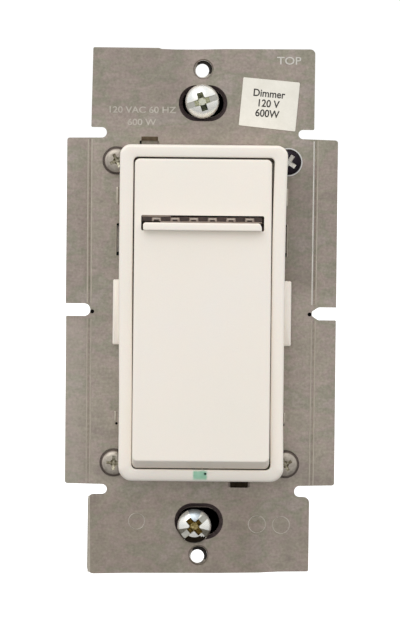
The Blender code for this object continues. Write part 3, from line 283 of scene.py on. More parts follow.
# Tones, roughness, metal share and blotch scale of each plain look, then what differs
LOOKS = {
    "carrier": look([(214, 206, 194), (224, 217, 205)], 0.5),
    # Lighter tone for stamped letters and rings: a painted highlight
    "stamp_painted_highlight": look([(186, 178, 166), (206, 200, 190)], 0.42, 0.85, 900, stretch=(0.1, 1, 1)),
    # Lighter tone of raised burrs, partly a painted highlight
    "burr_and_painted_highlight": look([(180, 172, 158), (196, 188, 174)], 0.42, 0.85, 900),
    # Brown painted shade for the upper key slot's recess
    "key_painted_shade": look([(100, 86, 68), (122, 106, 86)], 0.6, 0.4, 900),
    # Painted shade and glints for the housing screws' recesses
    "recess_painted_shade_and_glint": look([(126, 118, 100), (164, 158, 138), (210, 206, 186)], 0.4, 0.85, 2400),
    "screw_bright": look([(216, 214, 208), (244, 242, 236)], 0.35, 0.4, 1600),
    "groove_shade": look([(116, 104, 98), (138, 126, 118)], 0.5, 0.6, 900),
    # Painted reflections for the box screws' crowns
    "zinc_painted_sky_reflection": look([(172, 182, 190), (196, 204, 208)], 0.3, 0.9, 1200),
    "zinc_painted_grey_reflection": look([(116, 112, 100), (150, 146, 134)], 0.34, 0.9, 1500),
    # Dark painted shade for the coined rims round the box screw slots
    "coin_painted_shade": look([(88, 76, 74), (104, 90, 90), (78, 68, 64)], 0.5, 0.6, 700),
    # Painted highlight for the rim round the dark housing screw
    "rim_light": look([(226, 226, 224), (238, 236, 232)], 0.3, 0.5, 900),
    # Painted highlight for a housing screw's upper left rim
    "rim_painted_highlight": look([(170, 160, 150), (208, 198, 186)], 0.36, 0.85, 420),
    "smoke_purple": look([(108, 84, 90), (128, 104, 110)], 0.3, grain=900, relief=0.2, coat=0.3),
    # Light painted highlight for the tops of the display cells
    "cell_cap_painted_highlight": look([(224, 212, 202), (236, 226, 218)], 0.35, grain=1200, coat=0.3),
    # Painted reflections, glints and shade for the box screws' slots and crosses
    "zinc_painted_slot_reflection": look([(182, 182, 172), (196, 194, 186)], 0.34, 1.0, 900),
    "zinc_painted_pale_reflection": look([(214, 214, 190), (228, 228, 210), (180, 182, 160)], 0.3, 1.0, 1600),
    "zinc_painted_shade": look([(70, 72, 60), (104, 108, 98)], 0.36, 1.0, 1500),
    "zinc_olive_painted_shade": look([(90, 80, 48), (146, 128, 80), (226, 212, 160)], 0.3, 1.0, 1500),
    # Black painted shade for the lower key slot and the darkest side of a screw crown
    "painted_black_shade": look([(34, 28, 20), (52, 44, 34)], 0.3, 1.0, 900),
    # Near-black painted shade for holes, gaps and recesses
    "hole_painted_shade": look([(26, 22, 18), (44, 38, 32)], 0.6, 0.3),
    "smoke": look([(98, 76, 68), (120, 96, 88)], 0.3, grain=900, relief=0.2, coat=0.3),
    "smoke_rib": look([(178, 160, 148), (200, 184, 174)], 0.32, grain=1200, coat=0.4),
    "green": look([(112, 178, 146), (130, 192, 160)], 0.3, coat=0.3),
    "black": look([(20, 20, 20), (28, 27, 26)], 0.5, grain=2600, relief=0.35, depth=0.03),
    "fibre": look([(24, 20, 17), (38, 32, 27)], 0.85, grain=2200, stretch=(1, 1, 0.3), relief=0.5,
                  depth=0.04),
    "zinc": look([(248, 248, 238), (252, 250, 244), (236, 240, 238)], 0.26, 0.75, 700, grain=2600,
                 spread=0.04, relief=0.06),
    "screw_steel": look([(166, 156, 146), (182, 174, 162), (158, 150, 138)], 0.4, 0.85, 900,
                        spread=0.1, relief=0.2),
    "dark_steel": look([(34, 30, 36), (52, 46, 52)], 0.34, 1.0, 700),
    "spring": look([(150, 150, 148), (176, 174, 168)], 0.28, 1.0, 900),
    "brass": look([(176, 140, 74), (206, 172, 104)], 0.3, 1.0, 420, wear=(140, 104, 60)),
    "ground_green": look([(34, 98, 56), (52, 128, 76)], 0.36, 0.5, 500, wear=(150, 150, 120)),
    "board": look([(24, 74, 42), (36, 92, 54)], 0.42, 0, 420, grain=1800, coat=0.2),
    "component": look([(22, 22, 24), (34, 34, 36)], 0.48, grain=2400, relief=0.3),
    "led": look([(214, 214, 200), (236, 236, 226)], 0.22, coat=0.4),
    "copper": look([(150, 76, 44), (186, 104, 62)], 0.3, 0.9, 500, coat=0.5),
    "ferrite": look([(56, 72, 56), (76, 94, 76)], 0.7, grain=1500, relief=0.4),
    "film": look([(116, 34, 26), (142, 50, 38)], 0.35, coat=0.4),
    "varistor": look([(30, 58, 118), (46, 80, 142)], 0.42, relief=0.3),
    "fuse": look([(174, 158, 128), (198, 184, 154)], 0.45),
    "thermal": look([(138, 138, 140), (160, 160, 160)], 0.8, relief=0.4),
    "paper": look([(240, 236, 224), (248, 244, 233)], 0.75, 0, 400, grain=2600, spread=0.02,
                  relief=0.2, depth=0.02),
    "ink": look([(40, 38, 36), (62, 58, 54)], 0.7, 0, 2600),
    # Bright tone for raised letters and ridges: a painted highlight
    "painted_edge_highlight": look([(212, 208, 200), (228, 224, 216)], 0.3, 0.9, 600, stretch=(1, 1, 0.1)),
}


def make_materials():
    made = {
        "strap": strap_surface(),
        "bezel": ivory_surface("ivory_bezel", [(250, 243, 232), (252, 244, 233), (251, 244, 235)], True),
        "pad": ivory_surface("ivory_pad", [(248, 241, 230), (250, 242, 231), (249, 242, 233)]),
        "bar": ivory_surface("ivory_bar", [(252, 245, 234), (254, 246, 235), (253, 245, 237)]),
    }
    for name, given in LOOKS.items():
        made[name] = surface(name, **given)
    return made


MATERIALS = make_materials()

# Look of each material slot in the record
SLOT_LOOK = {
    "strap_metal": "strap", "ivory_plastic": "pad", "carrier_plastic": "carrier",
    "smoked_lens": "smoke", "green_lens": "green", "black_plastic": "black",
    "fibre_black": "fibre", "zinc_steel": "zinc", "dark_steel": "dark_steel",
    "spring_steel": "spring", "brass": "brass", "ground_green": "ground_green",
    "board_green": "board", "component_black": "component", "led_clear": "led",
    "copper": "copper", "ferrite": "ferrite", "film_red": "film", "varistor_blue": "varistor",
    "fuse_tan": "fuse", "pad_grey": "thermal", "label_paper": "paper",
}


# ---------------------------------------------------------------- shape helpers

def add_loft(bm, rings, closed=False):
    """Skin through rings of equal point counts, capped at the ends or closed on itself."""
    loops = [[bm.verts.new(spot) for spot in ring] for ring in rings]
    pairs = list(zip(loops, loops[1:]))
    if closed:
        pairs.append((loops[-1], loops[0]))
    for lower, upper in pairs:
        for i in range(len(lower)):
            j = (i + 1) % len(lower)
            bm.faces.new((lower[i], lower[j], upper[j], upper[i]))
    if not closed:
        bm.faces.new(loops[0])
        bm.faces.new(loops[-1])


def add_prism(bm, outline, low, high, axis="Y"):
    rings = []
    for along in (low, high):
        if axis == "Y":
            rings.append([Vector((u, along, v)) for u, v in outline])
        elif axis == "X":
            rings.append([Vector((along, u, v)) for u, v in outline])
        else:
            rings.append([Vector((u, v, along)) for u, v in outline])
    add_loft(bm, rings)


def add_box(bm, xs, ys, zs):
    middle = [(low + high) / 2 for low, high in (xs, ys, zs)]
    size = [high - low for low, high in (xs, ys, zs)]
    matrix = Matrix.Translation(middle) @ Matrix.Diagonal((*size, 1))
    bmesh.ops.create_cube(bm, size=1, matrix=matrix)


def across_axis(axis):
    """Unit vectors along an axis and the two across it."""
    along = Vector([float(name == axis) for name in "XYZ"])
    side = Vector((0, 1, 0)) if axis == "X" else Vector((1, 0, 0))
    return along, side, along.cross(side)


def add_turned(bm, profile, axis, centre, steps=48):
    """Solid of revolution through (radius, height) points, closed onto the axis at both ends."""
    along, side, other = across_axis(axis)
    base = Vector(centre)
    points = list(profile)
    if points[0][0] > 0:
        points.insert(0, (0, points[0][1]))
    if points[-1][0] > 0:
        points.append((0, points[-1][1]))
    rings = []
    for radius, height in points:
        if radius <= 0:
            rings.append([bm.verts.new(base + along * height)])
            continue
        ring = []
        for i in range(steps):
            angle = math.tau * i / steps
            spot = base + along * height
            spot += side * radius * math.cos(angle) + other * radius * math.sin(angle)
            ring.append(bm.verts.new(spot))
        rings.append(ring)
    for lower, upper in zip(rings, rings[1:]):
        for i in range(steps):
            j = (i + 1) % steps
            if len(lower) == 1 and len(upper) == 1:
                continue
            if len(lower) == 1:
                bm.faces.new((lower[0], upper[j], upper[i]))
            elif len(upper) == 1:
                bm.faces.new((lower[i], lower[j], upper[0]))
            else:
                bm.faces.new((lower[i], lower[j], upper[j], upper[i]))


def add_rod(bm, radius, axis, centre, low, high, steps=48):
    add_turned(bm, [(radius, low), (radius, high)], axis, centre, steps)


def arc(centre, radius, start, end, steps):
    points = []
    for i in range(steps + 1):
        angle = math.radians(start + (end - start) * i / steps)
        points.append((centre[0] + radius * math.cos(angle), centre[1] + radius * math.sin(angle)))
    return points


def circle(x, z, radius, y, steps=48):
    """Ring of points facing -Y."""
    return [Vector((x + u, y, z + v)) for u, v in arc((0, 0), radius, 0, 360, steps)[:-1]]


def add_collar(bm, x, z, profile, steps=48):
    """Closed ring about a place on the strap through (radius, y) points."""
    add_loft(bm, [circle(x, z, radius, y, steps) for radius, y in profile], closed=True)


def rounded(half_u, half_v, radius, steps=6, centre=(0, 0), lower_extra=0.0):
    """Outline of a rounded rectangle from its half sizes; lower_extra widens its lower corners."""
    outline = []
    for turn, (su, sv) in enumerate(((1, 1), (-1, 1), (-1, -1), (1, -1))):
        radius = max(radius + (lower_extra if turn == 2 else 0.0), 0.02)
        corner = (centre[0] + su * (half_u - radius), centre[1] + sv * (half_v - radius))
        outline += arc(corner, radius, 90 * turn, 90 * turn + 90, steps)
    return outline


# Degrees each straight piece of a fillet turns by at most
FILLET_STEP = 15


def filleted(corners):
    """Outline through (u, v, radius) corners, each turned into an arc of its own radius."""
    outline = []
    count = len(corners)
    for i, (u, v, radius) in enumerate(corners):
        here = Vector((u, v))
        if radius <= 0:
            outline.append((u, v))
            continue
        back = (Vector(corners[i - 1][:2]) - here).normalized()
        ahead = (Vector(corners[(i + 1) % count][:2]) - here).normalized()
        half = back.angle(ahead) / 2
        centre = here + (back + ahead).normalized() * (radius / math.sin(half))
        start = here + back * (radius / math.tan(half)) - centre
        end = here + ahead * (radius / math.tan(half)) - centre
        first = math.atan2(start.y, start.x)
        turn = math.atan2(end.y, end.x) - first
        turn = (turn + math.pi) % math.tau - math.pi
        parts = max(2, math.ceil(abs(math.degrees(turn)) / FILLET_STEP))
        for k in range(parts + 1):
            angle = first + turn * k / parts
            outline.append((centre.x + radius * math.cos(angle), centre.y + radius * math.sin(angle)))
    return outline


def turned_outline(outline, degrees, centre=(0, 0)):
    angle = math.radians(degrees)
    return [(centre[0] + u * math.cos(angle) - v * math.sin(angle),
             centre[1] + u * math.sin(angle) + v * math.cos(angle)) for u, v in outline]


def face_rings(half_u, half_v, radius, rings, steps=6, centre=(0, 0), lower_extra=0.0):
    """Rings of a rounded block facing -Y; each entry of rings is (y, inset)."""
    lofted = []
    for y, inset in rings:
        outline = rounded(half_u - inset, half_v - inset, radius - inset, steps, centre, lower_extra)
        lofted.append([Vector((u, y, v)) for u, v in outline])
    return lofted


def eased(front, ease, steps=4):
    """(y, inset) pairs that round a front edge."""
    rings = []
    for i in range(steps + 1):
        angle = math.pi / 2 * i / steps
        rings.append((front + ease * (1 - math.sin(angle)), ease * (1 - math.cos(angle))))
    return rings


def reach_on(side, first, second):
    """Two distances from the middle as a low and a high place on one side of the part."""
    return sorted((side * first, side * second))


def fresh(*steps):
    """bmesh with each (function, arguments...) step added to it."""
    bm = bmesh.new()
    for function, *arguments in steps:
        function(bm, *arguments)
    return bm


def raw_object(name, bm):
    bmesh.ops.remove_doubles(bm, verts=bm.verts, dist=WELD)
    bmesh.ops.recalc_face_normals(bm, faces=bm.faces)
    bmesh.ops.scale(bm, verts=bm.verts, vec=(MM, MM, MM))
    mesh = bpy.data.meshes.new(name)
    bm.to_mesh(mesh)
    bm.free()
    mesh.shade_smooth()
    item = bpy.data.objects.new(name, mesh)
    bpy.context.scene.collection.objects.link(item)
    return item


def baked(item):
    """Replace an object's mesh by its evaluated one and drop its modifiers."""
    graph = bpy.context.evaluated_depsgraph_get()
    mesh = bpy.data.meshes.new_from_object(item.evaluated_get(graph))
    mesh.name = item.name
    item.modifiers.clear()
    item.data = mesh
    return item


def carve(name, bm, joins=(), cuts=(), bevel=0.0, segments=2, angle=32):
    """Object from a bmesh with tools joined on and cut out, and its sharp edges rounded."""
    item = raw_object(name, bm)
    tools = []
    for operation, group in (("UNION", joins), ("DIFFERENCE", cuts)):
        for number, tool_bm in enumerate(group):
            tool = raw_object(f"{name}_{operation.lower()}_{number}", tool_bm)
            step = item.modifiers.new(tool.name, "BOOLEAN")
            step.operation = operation
            step.solver = "EXACT"
            step.object = tool
            tools.append(tool)
    if bevel:
        edge = item.modifiers.new("edge", "BEVEL")
        edge.width = bevel * MM
        edge.segments = segments
        edge.limit_method = "ANGLE"
        edge.angle_limit = math.radians(angle)
        edge.harden_normals = True
    baked(item)
    for tool in tools:
        bpy.data.objects.remove(tool, do_unlink=True)
    if not bevel:
        item.data.set_sharp_from_angle(angle=math.radians(angle))
    return item


def dress(item, look, slot, *nodes, body="chassis"):
    """Give a piece its material, hide the CAD nodes it stands for and put it on its body; slot is not used."""
    item.data.materials.clear()
    item.data.materials.append(MATERIALS[look])
    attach(item, body)
    if nodes:
        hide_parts(*nodes)
    return item


def piece(name, bm, look, slot, *nodes, body="chassis", **shape):
    """Carve a piece and dress it."""
    return dress(carve(name, bm, **shape), look, slot, *nodes, body=body)


def paint_faces(item, look, chosen, tilt=2.0):
    """Second material on faces whose centre, in millimetres, passes the test; tilt caps normal.y."""
    item.data.materials.append(MATERIALS[look])
    for face in item.data.polygons:
        if abs(face.normal.y) < tilt and chosen(face.center / MM):
            face.material_index = len(item.data.materials) - 1


# ---------------------------------------------------------------- strap

WING = STRAP_HIGH.x
SCORE_LEAN = 0.18
SCORE_X = {1: 22.4, -1: -22.3}
SCREW_SPOTS = {}
for _name in ("upper_left", "upper_right", "lower_left", "lower_right"):
    _low, _high = box_mm(f"housing_screw_{_name}")
    SCREW_SPOTS[_name] = ((_low.x + _high.x) / 2, (_low.z + _high.z) / 2)
SLOT_Z = 41.67
SLOT_HALF = (4.1, 2.8)
SLOT_RIM = 0.75
PLATE_HOLE_Z = 48.42
PLATE_HOLE = 1.76
RIVET_X, RIVET_Z = 12.5, 25.0
RIVET_HOLE = 1.5
HOUSING_SCREW_HOLE = 1.7
PLUNGER_HOLE = 2.3
CLIP_WINDOW_X, CLIP_WINDOW_Z = (14.65, 16.95), (11.2, 17.6)
UPPER_KEY_X, UPPER_KEY_Z = (-12.2, -8.7), (31.5, 34.1)
LOWER_KEY_X, LOWER_KEY_Z = (6.2, 9.7), (-34.9, -31.5)
DISPLAY_WINDOW_Z = (16.0, 19.8)
LENS_WINDOW_Z = (-33.2, -30.6)
PLUNGER_Z = -12
SPRING_Z = -22
# Small blind marks: x, z and radius
PRICKS = ((16.62, -22.3, 0.26), (-16.62, -22.3, 0.26), (21.66, -0.2, 0.4), (-21.66, 0, 0.4))


def strap_outline():
    """The sheared sheet's outline from the upper left corner, down the left side and round."""
    top = STRAP_HIGH.z
    notch = 1.0
    corners = [
        (-21.95, top, 0.3),
        (-22.2, 36.7, 0.3), (-19.1, 36.7, notch), (-19.1, 34.63, notch),
        (-WING, 34.55, 0.5),
        (-WING, 1.58, 0.1), (-22.05, 1.58, 1.2), (-22.05, -0.97, 1.2), (-WING + 0.1, -0.97, 0.1),
        (-WING + 0.17, -34.3, 0.5),
        (-18.4, -34.45, notch), (-18.4, -36.48, notch), (-22.15, -36.48, 1.1),
        (-22.2, -52.35, 1.3),
        (-14.0, -52.15, 0), (4.0, -52.0, 0), (12.0, -51.85, 0), (16.0, -51.62, 0),
        (21.95, -51.52, 0.35),
        (22.0, -36.75, 1.1), (19.0, -36.65, notch), (19.0, -34.48, notch),
        (WING - 0.02, -34.3, 0.5),
        (WING - 0.03, -1.38, 0.1), (23.4, -1.38, 0.9), (22.1, -0.5, 0.5), (22.1, 0.35, 0.5),
        (23.4, 1.22, 0.9), (WING, 1.22, 0.1),
        (WING, 34.5, 0.5),
        (19.05, 34.72, notch), (19.05, 36.54, 0.9), (22.2, 36.54, 0.3),
        (22.25, top, 1.0),
        (9.0, top - 0.08, 0), (4.0, top - 0.12, 0), (-1.0, top - 0.28, 0), (-5.5, top - 0.3, 0),
        (-8.3, top - 0.22, 0), (-8.9, top - 0.02, 0),
    ]
    return filleted(corners)


def groove(bm, x, width, depth, low, high, lean=0.0):
    """V-shaped score line that leans by lean over its height."""
    top = STRAP_FRONT - 0.2
    half = width / 2 * (1 + 0.2 / depth)
    rings = []
    for z in (low, high):
        shift = lean * z / STRAP_HIGH.z
        rings.append([Vector((x + shift - half, top, z)), Vector((x + shift, STRAP_FRONT + depth, z)),
                      Vector((x + shift + half, top, z))])
    add_loft(bm, rings)


def lettering(lines, size, gap, extrude, wide=1.0, weight=0.0):
    """bmesh of flat letters in millimetres, centred on the origin and facing -Y."""
    bm = bmesh.new()
    for number, text in enumerate(lines):
        curve = bpy.data.curves.new("letters", "FONT")
        curve.body = text
        curve.size = size
        curve.extrude = extrude
        curve.offset = weight
        curve.align_x = "CENTER"
        curve.align_y = "CENTER"
        item = bpy.data.objects.new("letters", curve)
        bpy.context.scene.collection.objects.link(item)
        graph = bpy.context.evaluated_depsgraph_get()
        mesh = bpy.data.meshes.new_from_object(item.evaluated_get(graph))
        middle = (len(lines) - 1) / 2
        mesh.transform(Matrix.Translation((0, 0, (middle - number) * gap))
                       @ Matrix.Rotation(math.pi / 2, 4, "X") @ Matrix.Diagonal((wide, 1, 1, 1)))
        bm.from_mesh(mesh)
        bpy.data.objects.remove(item, do_unlink=True)
    return bm


def plate_openings():
    """Cutters that go through the strap, and blind ones for its small marks and key slots."""
    front, back = STRAP_FRONT, STRAP_HIGH.y
    ahead, behind = front - 1, 1
    floor_y = back - 0.2
    through, blind = bmesh.new(), bmesh.new()
    for side in (1, -1):
        slot = rounded(*SLOT_HALF, SLOT_HALF[1] - 0.02, 10, (0, side * SLOT_Z))
        add_prism(through, slot, ahead, behind)
        add_rod(through, PLATE_HOLE, "Y", (0, 0, side * PLATE_HOLE_Z), ahead, behind)
        for wall in (1, -1):
            add_rod(through, RIVET_HOLE, "Y", (wall * RIVET_X, 0, side * RIVET_Z), ahead, behind)
        add_box(through, reach_on(side, *CLIP_WINDOW_X), (ahead, behind), CLIP_WINDOW_Z)
    for x, z, radius in PRICKS:
        add_rod(blind, radius, "Y", (x, 0, z), ahead, back - 0.3, 16 if radius < 0.3 else 24)
    for x, z in SCREW_SPOTS.values():
        add_rod(through, HOUSING_SCREW_HOLE, "Y", (x, 0, z), ahead, behind)
    add_box(through, (-12.55, -12.15), (ahead, behind), UPPER_KEY_Z)
    add_box(blind, UPPER_KEY_X, (ahead, floor_y), UPPER_KEY_Z)
    add_box(blind, LOWER_KEY_X, (ahead, floor_y), LOWER_KEY_Z)
    add_box(through, (-12.5, 12.5), (ahead, behind), DISPLAY_WINDOW_Z)
    add_box(through, (-1.9, 1.9), (ahead, behind), LENS_WINDOW_Z)
    add_rod(through, PLUNGER_HOLE, "Y", (0, 0, PLUNGER_Z), ahead, behind)
    return through, blind


def pressed_dishes():
    """Coined rims round the box screw slots and dishes round the other screw holes."""
    front = STRAP_FRONT
    pressed = bmesh.new()
    rim = [(front + 0.75, SLOT_RIM), (front + 0.5, 0.5), (front + 0.2, 0.16), (front - 0.2, -0.16)]
    for side in (1, -1):
        add_loft(pressed, face_rings(SLOT_HALF[0] + SLOT_RIM, 3.6, 3.58, rim, 10, (0, side * SLOT_Z)))
        add_turned(pressed, [(2.1, front - 0.2), (2.0, front + 0.08), (1.8, front + 0.26)], "Y",
                   (0, 0, side * PLATE_HOLE_Z), 40)
    for x, z in SCREW_SPOTS.values():
        add_turned(pressed, [(2.9, front - 0.2), (2.8, front), (2.68, front + 0.5)], "Y", (x, 0, z))
    return pressed


def score_lines():
    """Break-off grooves of the wings and the sloped ends of the two key slots."""
    front = STRAP_FRONT
    scored = bmesh.new()
    for side in (1, -1):
        groove(scored, SCORE_X[side] + 0.1, 0.4, 0.12, 1.5, 37, side * SCORE_LEAN)
        groove(scored, SCORE_X[side] + 0.1, 0.36, 0.09, -37, -1.3, side * SCORE_LEAN)
    slope = [(front - 0.2, 35.2), (front + 0.6, 34.1), (front + 0.6, 33.5), (front - 0.2, 33.5)]
    add_prism(scored, slope, UPPER_KEY_X[0], UPPER_KEY_X[1] - 0.2, "X")
    for low, high in ((5.6, 6.3), (10.3, 9.6)):
        ramp = [(low, front - 0.15), (high, front + 0.5), (high, front - 0.15)]
        add_prism(scored, ramp, -34.8, -33.0, "Z")
    return scored


def mounting_strap():
    """Sheared strap with its openings, coined rims, score lines and painted shade in its holes and recesses."""
    front = STRAP_FRONT
    base = fresh((add_prism, strap_outline(), front, STRAP_HIGH.y))
    through, blind = plate_openings()
    strap = piece("strap_plate", base, "strap", "strap_metal", "mounting_strap",
                  cuts=(through, blind, pressed_dishes(), score_lines()), bevel=0.09)

    def in_blind_hole(spot):
        near = any(math.hypot(spot.x - x, spot.z - z) < radius + 0.03 for x, z, radius in PRICKS)
        return near and spot.y > front + 0.12

    def in_slot_rim(spot):
        inside = abs(spot.x) < SLOT_HALF[0] + SLOT_RIM and abs(abs(spot.z) - SLOT_Z) < 3.62
        return inside and front + 0.1 < spot.y

    def in_lower_key(spot):
        return 6.0 < spot.x < 10.0 and -35.1 < spot.z < -33 and spot.y > front + 0.25

    def in_upper_key(spot):
        return -12.9 < spot.x < -8.4 and 33 < spot.z < 35.2 and spot.y > front + 0.12

    # Painted shade on the floors of the blind marks
    paint_faces(strap, "hole_painted_shade", in_blind_hole)
    # Black painted shade in the lower key slot and brown painted shade in the upper one
    paint_faces(strap, "painted_black_shade", in_lower_key)
    paint_faces(strap, "key_painted_shade", in_upper_key)
    # Painted shade on the coined rims and walls round the box screw slots
    paint_faces(strap, "coin_painted_shade", in_slot_rim, 0.95)
    paint_faces(strap, "coin_painted_shade", lambda spot: in_slot_rim(spot) and abs(spot.x) > 2.6)


def plate_collars():
    """Collars in the plate screw holes, painted dark as the shade inside the holes, their bores a little off
    centre.
    """
    bm = bmesh.new()
    for side in (1, -1):
        rings = []
        for y, radius, shift in ((STRAP_FRONT + 0.26, 1.74, 0), (STRAP_HIGH.y - 0.15, 1.74, 0),
                                 (STRAP_HIGH.y - 0.15, 1.34, 1), (STRAP_FRONT + 0.7, 1.34, 1),
                                 (STRAP_FRONT + 0.34, 1.7, 0)):
            rings.append(circle(-0.2 * shift, side * PLATE_HOLE_Z - 0.28 * shift, radius, y))
        add_loft(bm, rings, closed=True)
    collars = piece("plate_hole_collars", bm, "hole_painted_shade", "strap_metal", bevel=0.03, angle=50)

    def on_lit_side(at):
        bearing = math.degrees(math.atan2(at.z - math.copysign(PLATE_HOLE_Z, at.z), at.x)) % 360
        return 145 < bearing < 320

    # Painted highlight on the lower left of each collar, where light falls into the hole
    paint_faces(collars, "burr_and_painted_highlight", on_lit_side)


STAMP_TALL = 0.05
LETTER_WIDTH = 1.16
INK_THICK = 0.008
INK_LIFT = 0.006
# Plain ring marks pressed near the foot of the strap: x, z and radius
STRAP_RINGS = ((-12.4, -41.8, 1.6), (11.6, -42.2, 1.7), (16.4, -42.3, 1.7))


def stamps():
    """Raised lettering, the strap's upright mark and its rating, and ring marks, all lighter than the sheet as a
    painted highlight.
    """
    front = STRAP_FRONT
    bm = lettering(["TOP"], 2.15, 2, STAMP_TALL, LETTER_WIDTH, 0.02)
    bmesh.ops.translate(bm, verts=bm.verts, vec=(17.05, front - 0.01, 50.2))
    piece("strap_stamp", bm, "painted_edge_highlight", "strap_metal")
    bm = lettering(["120 VAC 60 HZ", "600 W"], 1.75, 2.45, STAMP_TALL, LETTER_WIDTH, 0.03)
    bmesh.ops.translate(bm, verts=bm.verts, vec=(-12.2, front - 0.01, 38.95))
    piece("strap_rating_stamp", bm, "stamp_painted_highlight", "strap_metal")
    marks = bmesh.new()
    for x, z, radius in STRAP_RINGS:
        ring = ((radius + reach, front + y) for reach, y in ((0.13, 0.03), (0, -0.07), (-0.13, 0.03)))
        add_collar(marks, x, z, ring, 40)
    piece("strap_ring_stamps", marks, "stamp_painted_highlight", "strap_metal", angle=60)


def ridge(bm, side, reach, width, low, high):
    """Low rounded ridge beside a score line."""
    rings = []
    for z in (low, high):
        x = SCORE_X[side] + side * SCORE_LEAN * z / STRAP_HIGH.z + reach
        rings.append([Vector((x - width, STRAP_FRONT + 0.02, z)),
                      Vector((x - width * 0.4, STRAP_FRONT - 0.05, z)),
                      Vector((x + width * 0.4, STRAP_FRONT - 0.05, z)),
                      Vector((x + width, STRAP_FRONT + 0.02, z))])
    add_loft(bm, rings)


def burrs():
    """Raised edges along the score lines, round the side slots and at the small lanced marks, in lighter tones
    that are partly a painted highlight.
    """
    front = STRAP_FRONT
    bright, soft = bmesh.new(), bmesh.new()
    ridge(bright, 1, -0.32, 0.16, 1.7, 34.3)
    ridge(soft, 1, 0.48, 0.14, 1.7, 34.3)
    for reach in (-0.34, 0.42):
        ridge(soft, -1, reach, 0.17, 1.7, 34.3)
        ridge(soft, -1, reach, 0.12, -34.2, -1.5)
        ridge(soft, 1, reach, 0.13, -34.2, -1.5)
    for side in (1, -1):
        for z, tall, wide in ((23.1, 3.6, 0.3), (-20.9, 2.2, 0.24)):
            middle = side * 16.85
            lance = rounded(wide, tall / 2, wide - 0.02, 5, (middle, z))
            rings = []
            for y, share in ((front + 0.02, 1.0), (front - 0.06, 0.8), (front - 0.1, 0.4)):
                length = 0.7 + 0.3 * share
                rings.append([Vector((middle + (u - middle) * share, y, z + (v - z) * length))
                              for u, v in lance])
            add_loft(soft, rings)
        x = side * 17.02
        add_box(soft, sorted((x, x + side * 0.12)), (front - 0.04, front + 0.05), (11.1, 17.7))
    edge = [(-22.1, -36.8), (-21.75, -36.8), (-21.55, -51.9), (-22.1, -52.0)]
    add_prism(soft, edge, front - 0.03, front + 0.05)
    # Lighter looks paint the highlights along these raised edges
    piece("strap_burrs", bright, "painted_edge_highlight", "strap_metal", bevel=0.02, segments=1, angle=60)
    piece("strap_soft_burrs", soft, "burr_and_painted_highlight", "strap_metal", bevel=0.02, segments=1, angle=60)


# ---------------------------------------------------------------- bezel and pad

OPENING_X = (-13.76, 13.86)
OPENING_Z = (-31.0, 31.0)
RING_SPLITS = {8: 8, 17: 16, 26: 8, 35: 16}
PINHOLE = (1.06, 0, -31.84)
LOWER_BAND_SLOPE = 1.0
BEZEL_HALF_X = 16.45
BEZEL_CORNER = 2.15
BEZEL_EASE = 0.55
BEZEL_ROOM = (15.1, 32.1)
FACE_THICK = 1.5
TAB_HALF = (1.15, 6.45)
TAB_X = {1: 16.75, -1: -16.42}
# Clip that passes the strap's side window: outline in x and y, and its z from and to
BEZEL_HOOK = ((15.2, -3.0), (16.3, -3.0), (16.3, 0.4), (17.2, 0.4), (16.3, 1.9), (15.2, 1.9))
BEZEL_HOOK_Z = (11.9, 17.1)
PIN_RADIUS = 0.27


def bezel_bow(x, z):
    """Sideways place of a bezel edge: the moulding bows in a little and widens at its top."""
    if x > 0:
        return x + 0.42 * max(0, (z - 4) / 28) ** 2 + 0.16 * max(0, (-z - 22) / 10)
    return x + (0.27 if x < -15 else 0.17) * min(1, max(0, (6 - z) / 22))


def split_ring(ring, bow=False):
    """A rounded ring with its four long runs split into short ones, bowed where asked."""
    points = []
    for i, here in enumerate(ring):
        ahead = ring[(i + 1) % len(ring)]
        parts = RING_SPLITS.get(i, 1)
        points += [here.lerp(ahead, k / parts) for k in range(parts)]
    if bow:
        points = [Vector((bezel_bow(p.x, p.z), p.y, p.z)) for p in points]
    return points


